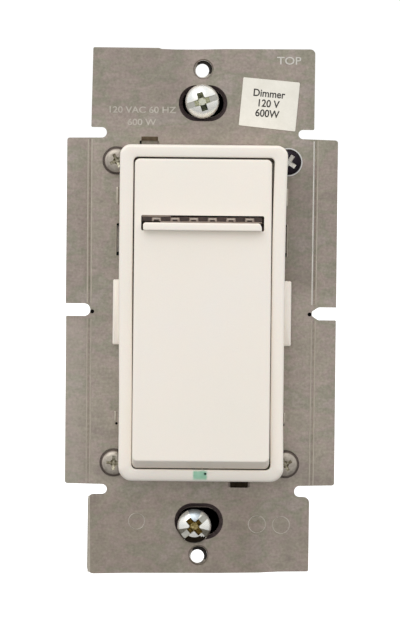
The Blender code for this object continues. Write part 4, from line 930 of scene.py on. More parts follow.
def front_bezel():
    """Bowed clip-on frame: one closed ring of sections, side tabs, hooks and the pinhole."""
    half_z = BEZEL_HIGH.z
    face, back = BEZEL_LOW.y, STRAP_FRONT - 0.3
    rings = face_rings(BEZEL_HALF_X, half_z, BEZEL_CORNER,
                       [(back, 0.0), (face + 3, 0.0)] + eased(face, BEZEL_EASE, 6), 8, (0, 0), 0.6)
    for ring in rings[2:]:
        for spot in ring:
            below = max(0, OPENING_Z[0] - spot.z) / (OPENING_Z[0] + half_z)
            spot.y += LOWER_BAND_SLOPE * below
    open_half = (OPENING_X[1] - OPENING_X[0]) / 2, (OPENING_Z[1] - OPENING_Z[0]) / 2
    middle = (sum(OPENING_X) / 2, sum(OPENING_Z) / 2)
    rings += face_rings(*open_half, 0.95, [(face, -0.32), (face + 0.06, -0.16), (face + 0.16, -0.06),
                                           (face + 0.32, 0.0), (face + FACE_THICK, 0.0)], 8, middle)
    rings = [split_ring(ring, True) for ring in rings]
    cavity = face_rings(*BEZEL_ROOM, 1.0, [(face + FACE_THICK, 0), (back, 0)], 8)
    rings += [split_ring(ring) for ring in cavity]
    ring = bmesh.new()
    add_loft(ring, rings, closed=True)

    extras = bmesh.new()
    for side in (1, -1):
        add_loft(extras, face_rings(*TAB_HALF, 0.3, [(back, 0), (-4.15, 0), (-4.35, 0.06),
                                                     (-4.5, 0.24)], 4, (TAB_X[side], 0)))
        add_prism(extras, [(side * x, y) for x, y in BEZEL_HOOK], *BEZEL_HOOK_Z, "Z")
    add_box(extras, (-12.3, -9.0), (-3.0, 0), (32.0, 33.0))
    add_box(extras, (6.7, 9.3), (-3.0, 0), (-33.0, -32.0))

    room = bmesh.new()
    for centre in SCREW_SPOTS.values():
        add_rod(room, 3.2, "Y", (centre[0], 0, centre[1]), -4.0, 0)
    pocket = fresh((add_box, (-1.5, 1.5), (face + 0.9, 0), (-32.9, -30.5)))
    pin = fresh((add_rod, PIN_RADIUS, "Y", PINHOLE, face - 0.5, face + 1.2, 20))
    bezel = piece("front_bezel", ring, "bezel", "ivory_plastic", "front_frame", joins=(extras,),
                  cuts=(room, pocket, pin), bevel=0.06, angle=50)
    # Painted shade inside the pinhole
    paint_faces(bezel, "hole_painted_shade",
                lambda spot: math.hypot(spot.x - PINHOLE[0], spot.z - PINHOLE[2]) < 0.4
                and face + 0.1 < spot.y < face + 0.89, 0.4)


PAD_SLOPE_TALL = 1.4
PAD_SLOPE_BACK = -8.2
PAD_SHIFT = 0.1
PAD_LEAN = (-8.6, -11.0)
PAD_WALL = 1.4
HINGE_BORE = 0.95
BAR_HALF_X = 11.76
BAR_PIN_BORE = 0.8


def pad_face(z):
    """Depth of the pad's leaning front at height z, between its upper and lower ends."""
    share = (PAD_HIGH.z - z) / (PAD_HIGH.z - PAD_LOW.z)
    return PAD_LEAN[0] + share * (PAD_LEAN[1] - PAD_LEAN[0])


def pad_loft(inset, back, ease, corner, steps):
    """Leaning tray block with rounded front edges and a sloped lower wall, from back to front."""
    half_x = PAD_HIGH.x - inset
    half_z = (PAD_HIGH.z - PAD_LOW.z) / 2 - inset
    middle = (PAD_SHIFT, (PAD_HIGH.z + PAD_LOW.z) / 2)
    rings = face_rings(half_x, half_z, corner, [(back, 0), (PAD_SLOPE_BACK + 0.9 * inset + 0.08, 0)],
                       8, middle)
    waist = [Vector((p.x, p.y - 0.08, p.z)) for p in rings[-1]]
    rings.append(waist)
    for forward, edge in eased(0.0, ease, steps):
        ring = []
        for x, z in rounded(half_x - edge, half_z - edge, corner - edge * 0.8, 8, middle):
            spot = z + PAD_SLOPE_TALL if z < 0 else z
            ring.append(Vector((x, pad_face(spot) + inset + forward, spot)))
        rings.append(ring)
    return rings


def push_pad():
    """Hollow leaning pad with the bar slot, and its hinge, plunger and spring bosses."""
    body = fresh((add_loft, pad_loft(0, PAD_HIGH.y - 1.1, 0.38, 1.0, 6)))
    hollow = fresh((add_loft, pad_loft(PAD_WALL, -4.0, 0.15, 0.6, 2)))
    slot = fresh((add_prism, rounded(12.2, 1.52, 0.3, 5, (0.05, 17.95)), -14, -6))
    bosses = bmesh.new()
    hinge = joint_spot("pad_press")
    for side in (1, -1):
        add_box(bosses, reach_on(side, 10.4, 12.8), (-7.8, -3.9), (hinge.z - 1.5, hinge.z + 1.5))
    add_rod(bosses, 1.8, "Y", (0, 0, PLUNGER_Z), pad_face(PLUNGER_Z) + 0.7, -4.7)
    add_rod(bosses, 1.6, "Y", (0, 0, SPRING_Z), pad_face(SPRING_Z) + 0.7, -8.0)
    bores = bmesh.new()
    for side in (1, -1):
        add_rod(bores, HINGE_BORE, "X", (0, hinge.y, hinge.z), *reach_on(side, 7, 12.75))
    piece("push_pad_shell", body, "pad", "ivory_plastic", "push_pad", body="pad",
          cuts=(hollow, slot), bevel=0.1, angle=50, segments=3)
    piece("push_pad_bosses", bosses, "pad", "ivory_plastic", body="pad", cuts=(bores,), bevel=0.08,
          angle=50)


def dim_bar():
    """Bar cap with a soft upper left corner and a slanting right end, on its hinged stem."""
    hinge = joint_spot("dim_bar_rock")
    half_x, half_z = BAR_HALF_X, (BAR_HIGH.z - BAR_LOW.z) / 2
    middle = (BAR_HIGH.z + BAR_LOW.z) / 2
    outline = filleted([(-half_x, -half_z, 0.3), (half_x, -half_z, 0.1), (half_x - 0.05, 0.1, 0.3),
                        (half_x - 0.4, half_z, 0.4), (-half_x, half_z, 0.55)])
    rings = []
    for y, inset in [(-5.7, 0)] + eased(BAR_LOW.y, 0.26, 5):
        rings.append([Vector((u * (1 - inset / half_x), y, middle + v * (1 - inset / half_z)))
                      for u, v in outline])
    body = fresh((add_loft, rings))
    stem = [(-1.9, -6.3), (1.9, -6.3), (1.9, -4.4), (1.4, -3.9), (0.8, -3.9), (0.8, BAR_HIGH.y),
            (-0.8, BAR_HIGH.y), (-0.8, -3.9), (-1.4, -3.9), (-1.9, -4.4)]
    finger = fresh((add_prism, stem, BAR_LOW.z + 0.02, BAR_HIGH.z - 0.02, "Z"))
    bore = fresh((add_rod, BAR_PIN_BORE, "Z", (hinge.x, hinge.y, 0), BAR_LOW.z - 1, BAR_HIGH.z + 1))
    nib = fresh((add_turned, [(0.22, -11.02), (0.34, -10.9)], "Y", (5.6, 0, BAR_LOW.z + 0.35), 20))
    piece("dim_bar_cap", body, "bar", "ivory_plastic", "dim_bar", body="bar", joins=(finger, nib),
          cuts=(bore,), bevel=0.05, angle=50)


# ---------------------------------------------------------------- level display

LEVELS = 7
LEVEL_PITCH = 3.7
LEVEL_SHIFT = 0.15
LEDGE_Z = 18.0
ARCH_TOP = 18.98
CELL_MIDDLE = 18.55


def level_display():
    """Smoked lens strip, the cells between its seven windows and the ledge under them."""
    front = GUIDE_LOW.y
    guide = bmesh.new()
    outline = rounded(GUIDE_HIGH.x, 0.62, 0.1, 2, (0, CELL_MIDDLE))
    add_prism(guide, outline, front, front + 1.2)
    for i in range(LEVELS):
        x = (i - (LEVELS - 1) / 2) * LEVEL_PITCH
        low, high = x - LEVEL_PITCH / 2 + 0.25, x + LEVEL_PITCH / 2 - 0.25
        add_box(guide, (max(low, GUIDE_LOW.x), min(high, GUIDE_HIGH.x)), (front + 1.1, GUIDE_HIGH.y),
                (GUIDE_LOW.z, GUIDE_HIGH.z))
    lens = piece("level_lens", guide, "smoke", "smoked_lens", "light_guide", bevel=0.05, angle=50)
    paint_faces(lens, "smoke_purple", lambda spot: spot.x < -9.0 and spot.y < front + 0.1)
    foot = LEDGE_Z + 0.2
    frames = bmesh.new()
    # Light caps on each cell's top paint the highlight where light falls from above
    caps = bmesh.new()
    for i in range(LEVELS - 1):
        x = (i - (LEVELS - 2) / 2) * LEVEL_PITCH + LEVEL_SHIFT
        arch = [(x - 0.92, foot), (x - 0.92, ARCH_TOP), (x + 0.92, ARCH_TOP), (x + 0.92, foot),
                (x + 0.52, foot), (x + 0.46, CELL_MIDDLE), (x - 0.46, CELL_MIDDLE), (x - 0.52, foot)]
        add_prism(frames, arch, front - 0.9, front - 0.04)
        add_prism(caps, [(x - 0.78, 18.58), (x + 0.78, 18.58), (x + 0.74, 18.95), (x - 0.74, 18.95)],
                  front - 1.0, front - 0.85)
    ledge = [(-8.3, LEDGE_Z), (11.85, LEDGE_Z), (11.85, LEDGE_Z + 0.24), (-8.3, LEDGE_Z + 0.24)]
    add_prism(frames, ledge, front - 1.05, front - 0.3)
    # Dark block painted as shade at the ledge's left end
    shade = fresh((add_box, (-11.9, -8.35), (front - 1.05, front - 0.3), (LEDGE_Z, LEDGE_Z + 0.22)))
    piece("level_shade", shade, "hole_painted_shade", "carrier_plastic")
    add_prism(frames, [(-12.0, 19.05), (-6.2, 19.12), (-6.2, 19.4), (-12.0, 19.4)], front - 0.9,
              front - 0.04)
    piece("level_cells", frames, "smoke_rib", "smoked_lens", bevel=0.05, angle=40)
    piece("level_cell_caps", caps, "cell_cap_painted_highlight", "smoked_lens", bevel=0.04, angle=40)


CARRIER_BACK = -1.9
CARRIER_FACE = -2.9
SPRING_CUP = (3.7, 2.9)
PLUNGER_ROOM = 1.9


def carrier_tray():
    """Plate behind the pad, its shelf over the display, hinge ears and spring cup."""
    low, high = box_mm("carrier")
    plate = bmesh.new()
    add_loft(plate, face_rings(high.x, high.z, 1.0, [(CARRIER_BACK, 0), (-3.2, 0), (-3.3, 0.1)], 5))
    extras = fresh((add_box, (-12.1, 12.1), (low.y, CARRIER_FACE), (19.5, 20.7)))
    add_box(extras, (-2.0, 2.0), (-6.4, CARRIER_FACE), (12.9, 16.25))
    hinge = joint_spot("pad_press")
    for side in (1, -1):
        ear = [(CARRIER_FACE, hinge.z - 1.6), (CARRIER_FACE, hinge.z + 1.6)]
        ear += arc((hinge.y, hinge.z), 1.5, 60, 300, 16)
        add_prism(extras, ear, *reach_on(side, 8.0, 10.1), "X")
        for level in (1, -1):
            add_turned(extras, [(1.2, -2.3), (1.2, 0.9), (0.8, high.y)], "Y",
                       (side * RIVET_X, 0, level * RIVET_Z))
    cup = fresh((add_rod, SPRING_CUP[0], "Y", (0, 0, SPRING_Z), -4.6, CARRIER_FACE))
    room = fresh((add_box, (-12.2, 12.2), (-3.9, 0), (17.95, 19.3)))
    add_rod(room, PLUNGER_ROOM, "Y", (0, 0, PLUNGER_Z), -5, 0)
    add_rod(room, SPRING_CUP[1], "Y", (0, 0, SPRING_Z), -5, -3.3)
    add_rod(room, BAR_PIN_BORE, "Z", (0, -5.0, 0), 13.2, 16.8)
    bores = bmesh.new()
    for side in (1, -1):
        add_rod(bores, HINGE_BORE, "X", (0, hinge.y, hinge.z), *reach_on(side, 7, 11))
    add_box(bores, (-1.7, 1.7), (-3.8, 0), (16.3, 17.9))
    piece("carrier_tray", plate, "carrier", "carrier_plastic", "carrier", joins=(extras, cup),
          cuts=(room, bores), bevel=0.06, angle=50)


# ---------------------------------------------------------------- screws

SPRING_WIRE = 0.25
SPRING_COILS = 7
SPRING_STEPS = 24
SPRING_SIDES = 10
# Radius, root radius and pitch of the box screws' thread
BOX_THREAD = (1.62, 1.28, 0.79)
BOX_HEAD_TALL = 2.3
CROWN_STEPS = 10
BLADE_SLOT = 0.58
BLADE_DEEP = 0.85
HOUSING_SCREW_TALL = 1.9
# Outer radius of the rim round a bright housing screw and round the dark one
COLLAR = (2.74, 2.86)
# Cross recesses: reach as a share of the head's radius, half width of an arm, and depth
BOX_CROSS = (0.58, 0.62, 1.75)
HOUSING_CROSS = (0.56, 0.3, 0.5)
DARK_CROSS = (0.64, 0.42, 0.5)


def add_thread(bm, radius, root, pitch, axis, centre, low, high, steps=28):
    """Closed rod with a helical thread between two heights on the axis."""
    along, side, other = across_axis(axis)
    rows = max(8, math.ceil(abs(high - low) / pitch * 6))
    rings = []
    for row in range(rows + 1):
        height = low + (high - low) * row / rows
        taper = min(1.0, (rows - row) / 6)
        ring = []
        for i in range(steps):
            share = (height / pitch - i / steps) % 1
            crest = 1 - abs(2 * share - 1)
            r = (root + (radius - root) * min(1, crest * 1.3)) * (0.6 + 0.4 * taper)
            angle = math.tau * i / steps
            ring.append(Vector(centre) + along * height
                        + side * r * math.cos(angle) + other * r * math.sin(angle))
        rings.append(ring)
    add_loft(bm, rings)


def cross_cut(bm, centre, twist, top, radius, cross):
    """Tapered cross recess cut from the -Y side of a head with this radius."""
    share_of_head, half, depth = cross
    reach = radius * share_of_head
    rings = []
    for y, share in ((top - 0.6, 1.12), (top + 0.1, 1.0), (top + depth * 0.6, 0.74),
                     (top + depth, 0.36)):
        long, wide = reach * share, half * (0.4 + 0.6 * share)
        plus = []
        for quarter in range(4):
            arm = [(long, -wide), (long, wide), (wide, wide)]
            plus += turned_outline(arm, 90 * quarter)
        outline = turned_outline(plus, twist)
        rings.append([Vector((centre[0] + u, y, centre[1] + v)) for u, v in outline])
    add_loft(bm, rings)


def pan_head(top, seat, radius):
    """Profile of a domed head from its crown on the axis to its seat."""
    points = [(0, top)]
    tall = seat - top
    for i in range(1, CROWN_STEPS + 1):
        angle = math.pi / 2 * i / CROWN_STEPS
        points.append((radius * math.sin(angle) ** 0.85, top + tall * 0.72 * (1 - math.cos(angle))))
    points += [(radius, seat - 0.12), (radius - 0.1, seat)]
    return points


def paint_box_screw(item, which, spot, twist, radius, top, seat):
    """Painted reflections, glints and shade on a box screw's slot, cross and crown, where they mirror something
    dark or bright.
    """
    angle = math.radians(twist)

    def across(at):
        """Place along and across the slot."""
        u, v = at.x - spot.x, at.z - spot.z
        return (u * math.cos(angle) + v * math.sin(angle), v * math.cos(angle) - u * math.sin(angle))

    def in_slot(at):
        return abs(across(at)[1]) < BLADE_SLOT - 0.02 and abs(at.y - top - BLADE_DEEP) < 0.1

    def in_cross(at):
        along, off = across(at)
        return math.hypot(along, off) < radius * 0.6 and top + 0.3 < at.y < seat - 0.1

    def crown(at, low_angle, high_angle):
        """Whether a place on the crown lies between two bearings, in degrees from +X."""
        bearing = math.degrees(math.atan2(at.z - spot.z, at.x - spot.x)) % 360
        return low_angle < bearing < high_angle and at.y < seat - 0.1

    # Painted reflection in the slot, painted glints and shade in the cross, painted reflections on the crown
    paint_faces(item, "zinc_painted_slot_reflection", in_slot)
    if which == "top":
        paint_faces(item, "zinc_painted_pale_reflection", lambda at: in_cross(at) and not in_slot(at))
        paint_faces(item, "zinc_painted_shade", lambda at: in_cross(at) and across(at)[1] < -0.55)
    else:
        paint_faces(item, "zinc_painted_sky_reflection", lambda at: crown(at, 62, 112))
        paint_faces(item, "zinc_painted_grey_reflection", lambda at: crown(at, 190, 232) or crown(at, 318, 345))
        paint_faces(item, "painted_black_shade",
                    lambda at: at.z - spot.z < -1.95 and at.y < seat - 0.1
                    and -1.9 < at.x - spot.x < 2.2)
        paint_faces(item, "zinc_painted_slot_reflection", lambda at: in_slot(at) and at.z < spot.z)
        paint_faces(item, "zinc_olive_painted_shade", lambda at: in_cross(at) and not in_slot(at))
        paint_faces(item, "zinc_painted_pale_reflection",
                    lambda at: in_cross(at) and -0.8 < at.z - spot.z < -0.3
                    and 0.1 < abs(at.x - spot.x) < 0.8)


def box_screw(which, body, twist):
    """Captive screw with a blade slot through a cross, and its thread."""
    node = f"mounting_screw_{which}"
    low, high = box_mm(node)
    spot = joint_spot(f"{which}_screw_turn")
    centre = (spot.x, 0, spot.z)
    radius = (high.x - low.x) / 2
    top, seat = low.y, low.y + BOX_HEAD_TALL
    head = bmesh.new()
    profile = pan_head(top, seat, radius) + [(1.75, seat)]
    add_turned(head, profile, "Y", centre, 96)
    recess = fresh((cross_cut, (spot.x, spot.z), twist, top, radius, BOX_CROSS))
    bowl = [(1.2, top - 0.5), (0.95, top + 0.4), (0.4, top + 1.5)]
    dimple = fresh((add_turned, bowl, "Y", centre, 40))
    slot = bmesh.new()
    blade = [(-radius - 1, -BLADE_SLOT), (radius + 1, -BLADE_SLOT), (radius + 1, BLADE_SLOT),
             (-radius - 1, BLADE_SLOT)]
    add_prism(slot, turned_outline(blade, twist, (spot.x, spot.z)), top - 1, top + BLADE_DEEP)
    item = piece(f"box_screw_{which}_head", head, "zinc", "zinc_steel", node, body=body,
                 cuts=(slot, recess, dimple), bevel=0.07, angle=40)
    paint_box_screw(item, which, spot, twist, radius, top, seat)
    shank = fresh((add_thread, *BOX_THREAD, "Y", centre, seat - 0.3, high.y))
    piece(f"box_screw_{which}_thread", shank, "zinc", "zinc_steel", body=body, angle=60)


def pad_spring():
    """Round-wire coil between the spring cup and the pad, closed flat at both ends."""
    low, high = box_mm("pad_spring")
    middle = (low + high) / 2
    reach = (high.x - low.x) / 2 - SPRING_WIRE
    count = SPRING_COILS * SPRING_STEPS
    rings = []
    for i in range(count + 1):
        angle = math.tau * i / SPRING_STEPS
        share = min(1, max(0, (i - SPRING_STEPS) / (count - 2 * SPRING_STEPS)))
        y = low.y + SPRING_WIRE + 0.01 + share * (high.y - low.y - 2 * SPRING_WIRE - 0.02)
        out = Vector((math.cos(angle), 0, math.sin(angle)))
        centre = Vector((middle.x, y, middle.z)) + out * reach
        turns = [math.tau * k / SPRING_SIDES for k in range(SPRING_SIDES)]
        rings.append([centre + out * SPRING_WIRE * math.cos(turn)
                      + Vector((0, SPRING_WIRE * math.sin(turn), 0)) for turn in turns])
    bm = fresh((add_loft, rings))
    spring = piece("pad_spring_coil", bm, "spring", "spring_steel", "pad_spring", angle=60)
    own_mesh(spring)


def housing_screw(name, twist):
    """Low flat-crowned screw sunk in its dimple; the upper right one is dark round its cross."""
    node = f"housing_screw_{name}"
    low, high = box_mm(node)
    centre_x, centre_z = SCREW_SPOTS[name]
    centre = (centre_x, 0, centre_z)
    dark = name == "upper_right"
    radius = (high.x - low.x) / 2
    top, seat = low.y, low.y + HOUSING_SCREW_TALL
    edge = top + 0.45
    head = bmesh.new()
    crown = [(0, top), (radius * 0.62, top + 0.02), (radius * 0.8, edge - 0.3),
             (radius * 0.92, edge - 0.06), (radius * 0.97, edge + 0.1),
             (radius, edge + 0.3), (radius, seat), (1.25, seat), (1.25, high.y - 1),
             (0.5, high.y)]
    add_turned(head, crown, "Y", centre, 64)
    recess = fresh((cross_cut, (centre_x, centre_z), twist, top, radius,
                    DARK_CROSS if dark else HOUSING_CROSS))
    bowl = [(0.8, top - 0.4), (0.66, top + 0.2), (0.3, top + 0.6)]
    dimple = fresh((add_turned, bowl, "Y", centre, 32))
    item = piece(f"housing_screw_{name}_head", head, "dark_steel" if dark else "screw_steel",
                 "dark_steel" if dark else "zinc_steel", node, cuts=(recess, dimple), bevel=0.05,
                 angle=40)

    def away(at):
        return math.hypot(at.x - centre_x, at.z - centre_z)

    def in_recess(at):
        return away(at) < radius * 0.66 and top + 0.06 < at.y < seat - 0.2

    if dark:
        paint_faces(item, "screw_bright", in_recess)
    else:
        # Painted shade and glints in the recess, a painted highlight on the upper left rim and painted shade round
        # the edge
        paint_faces(item, "recess_painted_shade_and_glint", in_recess)
        paint_faces(item, "rim_painted_highlight", lambda at: radius * 0.8 < away(at) < radius * 0.93
                    and at.y < seat - 0.3 and at.x < centre_x + 0.6 and at.z > centre_z - 1.2)
        paint_faces(item, "groove_shade", lambda at: away(at) > radius * 0.93
                    and top < at.y < seat)
    # The rim is painted shade round a bright screw and a painted highlight round the dark one
    collar = bmesh.new()
    outer = COLLAR[dark]
    profile = ((outer, 0.05), (outer - 0.06, -0.08), (2.58, -0.08), (2.54, 0.3), (2.62, 0.4))
    add_collar(collar, centre_x, centre_z, [(r, STRAP_FRONT + y) for r, y in profile], 64)
    piece(f"housing_screw_{name}_rim", collar, "rim_light" if dark else "groove_shade",
          "strap_metal", angle=60)


# ---------------------------------------------------------------- labels

def sticker():
    """Paper sticker turned a little off square, and its print."""
    middle = (LABEL_LOW + LABEL_HIGH) / 2 + Vector((-0.12, 0, 0.14))
    turn = -4.9
    corners = [(-5.72, -4.68, 0.2), (5.6, -4.86, 0.2), (5.62, 4.92, 0.3), (-5.7, 4.92, 0.2)]
    outline = turned_outline(filleted(corners), turn, (middle.x, middle.z))
    sheet = fresh((add_prism, outline, LABEL_LOW.y, LABEL_HIGH.y))
    piece("strap_sticker", sheet, "paper", "label_paper", "strap_label", bevel=0.025, angle=50)
    words = lettering(["Dimmer", "120 V", "600W"], 2.05, 1.99, INK_THICK, 0.92, 0.036)
    bmesh.ops.rotate(words, verts=words.verts, cent=(0, 0, 0),
                     matrix=Matrix.Rotation(math.radians(-turn), 3, "Y"))
    bmesh.ops.translate(words, verts=words.verts, vec=(middle.x - 0.3, LABEL_LOW.y - INK_LIFT,
                                                       middle.z + 0.1))
    piece("sticker_print", words, "ink", "label_paper")


def back_label():
    """Rating label on the housing with plain print and two rules."""
    low, high = box_mm("rating_label")
    middle = (low + high) / 2
    half_u, half_v = (high.x - low.x) / 2, (high.z - low.z) / 2
    sheet = fresh((add_prism, rounded(half_u, half_v, 1.0, 6, (middle.x, middle.z)), low.y, high.y))
    piece("back_label", sheet, "paper", "label_paper", "rating_label", bevel=0.03, angle=50)
    words = lettering(["DIMMER", "120 V AC", "60 Hz", "600 W MAX."], 3.0, 5.2, INK_THICK)
    rule = rounded(half_u - 1.4, 0.12, 0.05, 2)
    for level in (-1, 1):
        add_prism(words, [(u, v + level * 12.2) for u, v in rule], -INK_THICK, INK_THICK)
    bmesh.ops.rotate(words, verts=words.verts, cent=(0, 0, 0), matrix=Matrix.Rotation(math.pi, 3, "Z"))
    bmesh.ops.translate(words, verts=words.verts, vec=(middle.x, high.y + INK_LIFT, middle.z))
    piece("back_label_print", words, "ink", "label_paper")


# ---------------------------------------------------------------- housing and terminals

HOUSING_WALL = 1.6
HOUSING_CORNER = 2.0
BACK_EASE = 1.4
SCREW_POST = 3.2
POST_SINK = 1.2
SCREW_BORE = 1.5
# Moulded block behind a terminal: x from and to, and half sizes in y and z; its pocket likewise
TERMINAL_BLOCK = (14.8, 20.6, 5.4, 5.0)
TERMINAL_POCKET = (16.6, 23, 4.4, 4.2)
WIRE_HOLE_X, WIRE_HOLE_Z = 18.1, 2.9
TERMINAL_FACE = 20.9
TERMINAL_THREAD = (1.5, 1.2, 0.79)
GROUND_THREAD = (1.55, 1.25, 0.79)
TERMINALS = {}
for _number in (1, 2, 3):
    _low, _high = box_mm(f"terminal_screw_{_number}")
    TERMINALS[_number] = (1 if _low.x > 0 else -1, (_low.y + _high.y) / 2, (_low.z + _high.z) / 2)


def housing_shell():
    """Cup-shaped housing with screw posts, terminal blocks, wire holes and shallow marks."""
    half_x, half_z = HOUSING_HIGH.x, HOUSING_HIGH.z
    front, back = HOUSING_LOW.y, HOUSING_HIGH.y
    shell = bmesh.new()
    round_back = [(back - BACK_EASE * (1 - math.sin(a)), BACK_EASE * (1 - math.cos(a)))
                  for a in [math.pi / 2 * i / 5 for i in range(6)]]
    rings = [(front, 0.12), (front + 0.12, 0), (front + 3.0, 0), (front + 3.1, 0.25),
             (front + 3.5, 0.25), (front + 3.6, 0.0)]
    rings += round_back
    wall = HOUSING_WALL
    room = face_rings(half_x - wall, half_z - wall, 0.8, [(back - wall, 0), (front, 0)], 8)
    add_loft(shell, room + face_rings(half_x, half_z, HOUSING_CORNER, rings, 8))
    posts = bmesh.new()
    for x, z in SCREW_SPOTS.values():
        add_rod(posts, SCREW_POST, "Y", (x, 0, z), front + 0.05, back - POST_SINK)
    for side, y, z in TERMINALS.values():
        inner, outer, half_y, half_block = TERMINAL_BLOCK
        add_box(posts, reach_on(side, inner, outer), (y - half_y, back - POST_SINK),
                (z - half_block, z + half_block))
    bores = bmesh.new()
    for x, z in SCREW_SPOTS.values():
        add_rod(bores, SCREW_BORE, "Y", (x, 0, z), front - 1, 13.5)
    for side, y, z in TERMINALS.values():
        inner, outer, half_y, half_pocket = TERMINAL_POCKET
        add_box(bores, reach_on(side, inner, outer), (y - half_y, y + half_y),
                (z - half_pocket, z + half_pocket))
    holes = bmesh.new()
    for side, y, z in TERMINALS.values():
        for offset in (-WIRE_HOLE_Z, WIRE_HOLE_Z):
            add_turned(holes, [(1.2, y + 4.0), (1.2, back - 0.7), (1.8, back + 0.5)], "Y",
                       (side * WIRE_HOLE_X, 0, z + offset), 28)
        add_rod(holes, 1.9, "X", (0, y, z), *reach_on(side, 14, 17))
    trim = bmesh.new()
    low, high = box_mm("rating_label")
    add_prism(trim, rounded((high.x - low.x) / 2 + 0.6, (high.z - low.z) / 2 + 0.6, 1.4, 6), back - 0.25,
              back + 1)
    gauge = rounded(1.0, 5.5, 0.3, 4, (16.8, 22.0))
    add_prism(trim, gauge, back - 0.6, back + 1)
    for x, z in ((-17.0, -28.5), (17.0, 30.0), (-17.0, 28.5)):
        add_rod(trim, 1.6, "Y", (x, 0, z), back - 0.2, back + 1)
    piece("housing_shell", shell, "black", "black_plastic", "back_housing", joins=(posts,),
          cuts=(bores, holes, trim), bevel=0.14, angle=50)


def slotted_screw(node, look, axis, centre, profile, steps, slot, thread, low, high, **edge):
    """Screw head turned about an axis with a blade slot, and its thread."""
    head = fresh((add_turned, profile, axis, centre, steps))
    piece(f"{node}_head", head, look, look, node, cuts=(fresh((add_box, *slot)),), **edge)
    shank = fresh((add_thread, *thread, axis, centre, low, high))
    piece(f"{node}_thread", shank, look, look, angle=60)


def terminal_screw(number):
    """Slotted brass screw in its pocket at the housing's side."""
    side, y, z = TERMINALS[number]
    outer = TERMINAL_FACE
    profile = [(2.3, outer), (2.85, outer - 0.1), (3.1, outer - 0.3), (3.2, outer - 0.6),
               (3.2, outer - 1.6)]
    slot = (reach_on(side, outer - 0.9, outer + 1), (y - 4, y + 4), (z - 0.4, z + 0.4))
    slotted_screw(f"terminal_screw_{number}", "brass", "X", (0, y, z),
                  [(radius, side * reach) for radius, reach in profile], 56, slot, TERMINAL_THREAD,
                  side * (outer - 1.5), side * 14.3, bevel=0.07, angle=40)


def clamp_plate(number):
    """Square clamp behind a terminal screw, with grip grooves across its face."""
    side, y, z = TERMINALS[number]
    node = f"terminal_clamp_{number}"
    low, high = box_mm(node)
    middle = (low + high) / 2
    plate = bmesh.new()
    outline = rounded((high.y - low.y) / 2, (high.z - low.z) / 2, 0.5, 5, (middle.y, middle.z))
    add_prism(plate, outline, low.x, high.x, "X")
    bore = fresh((add_rod, 1.8, "X", (0, y, z), low.x - 1, high.x + 1))
    grips = bmesh.new()
    face = high.x if side > 0 else low.x
    for i in range(-3, 4):
        if abs(i) < 2:
            continue
        add_rod(grips, 0.14, "Y", (face, 0, z + i * 1.0), low.y - 1, high.y + 1, 10)
    piece(f"{node}_plate", plate, "brass", "brass", node, cuts=(bore, grips), bevel=0.06, angle=40)


def ground_terminal():
    """Bent ground bracket and its green screw."""
    low, high = box_mm("ground_clip")
    screw_low, screw_high = box_mm("ground_screw")
    centre_x, centre_y = (screw_low.x + screw_high.x) / 2, (screw_low.y + screw_high.y) / 2
    outline = filleted([(low.y, low.z, 0.3), (low.y, high.z, 0.9), (high.y, high.z, 0.25),
                        (high.y, high.z - 1.0, 0.25), (low.y + 0.9, high.z - 1.0, 0.3),
                        (low.y + 0.9, low.z, 0.3)])
    bracket = fresh((add_prism, outline, low.x, high.x, "X"))
    bore = fresh((add_rod, 1.9, "Z", (centre_x, centre_y, 0), -41.5, -38))
    piece("ground_bracket", bracket, "brass", "brass", "ground_clip", cuts=(bore,), bevel=0.08,
          angle=45)
    profile = [(2.2, -43.0), (2.7, -42.85), (2.95, -42.5), (3.2, -41.0), (3.2, -40.5)]
    slot = ((9, 18), (centre_y - 0.4, centre_y + 0.4), (-44, -42.2))
    slotted_screw("ground_screw", "ground_green", "Z", (centre_x, centre_y, 0), profile, 48, slot,
                  GROUND_THREAD, -40.6, screw_high.z, bevel=0.08, angle=45)


# ---------------------------------------------------------------- carried-over nodes

def dress_cad_nodes():
    """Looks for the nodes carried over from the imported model."""
    for part in frame["record"]["subparts"]:
        item = frame["nodes"][part["node"]]
        if item.hide_render:
            continue
        look = MATERIALS[SLOT_LOOK[part["material_slot"]]]
        item.data.materials.clear()
        item.data.materials.append(look)


# ---------------------------------------------------------------- stage

# Sky tones by height, from straight down to straight up
SKY_TONES = ((0.0, 0.42), (0.3, 0.5), (0.47, 0.74), (0.6, 0.94), (0.8, 1.0), (1.0, 1.0))
SKY_STRENGTH = 0.98
BACKDROP_STRENGTH = 1.05


def world_light():
    """Soft studio sky, plain white to the camera."""
    world = bpy.data.worlds.new("studio")
    bpy.context.scene.world = world
    world.use_nodes = True
    world.node_tree.nodes.clear()
    sky = Nodes(world.node_tree)
    place = sky.node("ShaderNodeTexCoord").outputs["Generated"]
    height = sky.span(sky.node("ShaderNodeSeparateXYZ", Vector=place).outputs["Z"], -1, 1)
    tones = sky.ramp(height, SKY_TONES, lambda value: (value, value, value, 1))
    soft = sky.node("ShaderNodeBackground", Color=tones, Strength=SKY_STRENGTH)
    plain = sky.node("ShaderNodeBackground", Color=(1, 1, 1, 1), Strength=BACKDROP_STRENGTH)
    to_camera = sky.node("ShaderNodeLightPath").outputs["Is Camera Ray"]
    mix = sky.node("ShaderNodeMixShader")
    sky.fill(mix, {0: to_camera, 1: soft.outputs[0], 2: plain.outputs[0]})
    sky.node("ShaderNodeOutputWorld", Surface=mix.outputs[0])


def area_light(name, spot, target, size, watts):
    light = bpy.data.lights.new(name, "AREA")
    light.shape = "DISK"
    light.size = size
    light.energy = watts
    item = bpy.data.objects.new(name, light)
    item.location = spot
    item.rotation_euler = (Vector(target) - Vector(spot)).to_track_quat("-Z", "Y").to_euler()
    bpy.context.scene.collection.objects.link(item)


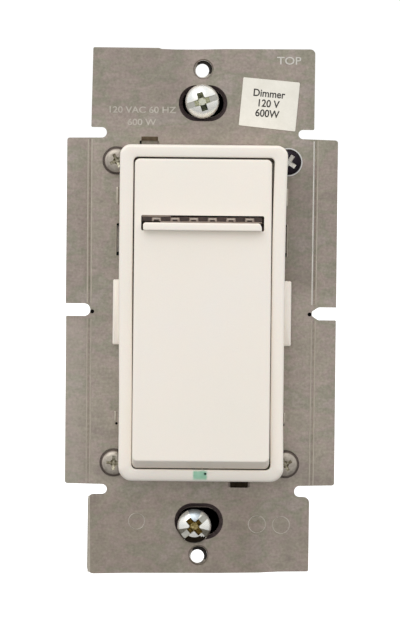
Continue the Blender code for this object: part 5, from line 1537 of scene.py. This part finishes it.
def floor():
    """Wide pale disc under the part."""
    tree = Tree("pale_floor")
    cloud = tree.noise(3, 2.0)
    tree.link(tree.ramp(cloud, [(0.3, (246, 246, 246)), (0.7, (250, 250, 250))]),
              tree.shader.inputs["Base Color"])
    tree.shader.inputs["Roughness"].default_value = 0.9
    tree.shader.inputs["Emission Color"].default_value = (1, 1, 1, 1)
    tree.shader.inputs["Emission Strength"].default_value = 0.4
    bm = bmesh.new()
    bmesh.ops.create_circle(bm, cap_ends=True, radius=6.0 / MM, segments=96,
                            matrix=Matrix.Translation((0, 0, STRAP_LOW.z - 20)))
    ground = raw_object("floor", bm)
    ground.data.materials.append(tree.material)
    ground.visible_diffuse = False
    ground.visible_glossy = False


def camera():
    """Long lens almost straight in front, a little above and rolled as in the photograph."""
    distance = 1.5
    elevation = math.radians(2.1)
    azimuth = math.radians(-0.9)
    roll = math.radians(0.6)
    span = 0.12532
    target = Vector((-0.00018, STRAP_FRONT * MM, -0.00042))
    data = bpy.data.cameras.new("camera")
    data.sensor_width = 36
    data.lens = data.sensor_width * distance / span
    data.clip_start = 0.05
    data.clip_end = 50
    item = bpy.data.objects.new("camera", data)
    back = Vector((math.sin(azimuth) * math.cos(elevation), -math.cos(azimuth) * math.cos(elevation),
                   math.sin(elevation)))
    item.location = target + back * distance
    turn = (-back).to_track_quat("-Z", "Y").to_matrix() @ Matrix.Rotation(roll, 3, "Z")
    item.rotation_euler = turn.to_euler()
    bpy.context.scene.collection.objects.link(item)
    bpy.context.scene.camera = item


def build():
    camera()
    mounting_strap()
    burrs()
    plate_collars()
    stamps()
    front_bezel()
    push_pad()
    dim_bar()
    level_display()
    carrier_tray()
    box_screw("top", "top_screw", 18)
    box_screw("bottom", "bottom_screw", 42)
    for index, name in enumerate(SCREW_SPOTS):
        housing_screw(name, 25 + 31 * index)
    sticker()
    back_label()
    pad_spring()
    housing_shell()
    for number in TERMINALS:
        terminal_screw(number)
        clamp_plate(number)
    ground_terminal()
    dress_cad_nodes()
    floor()
    world_light()
    area_light("key", (-0.5, -1.5, 1.2), (0, 0, 0), 1.6, 9.0)
    bpy.context.scene.view_settings.view_transform = "Standard"


build()
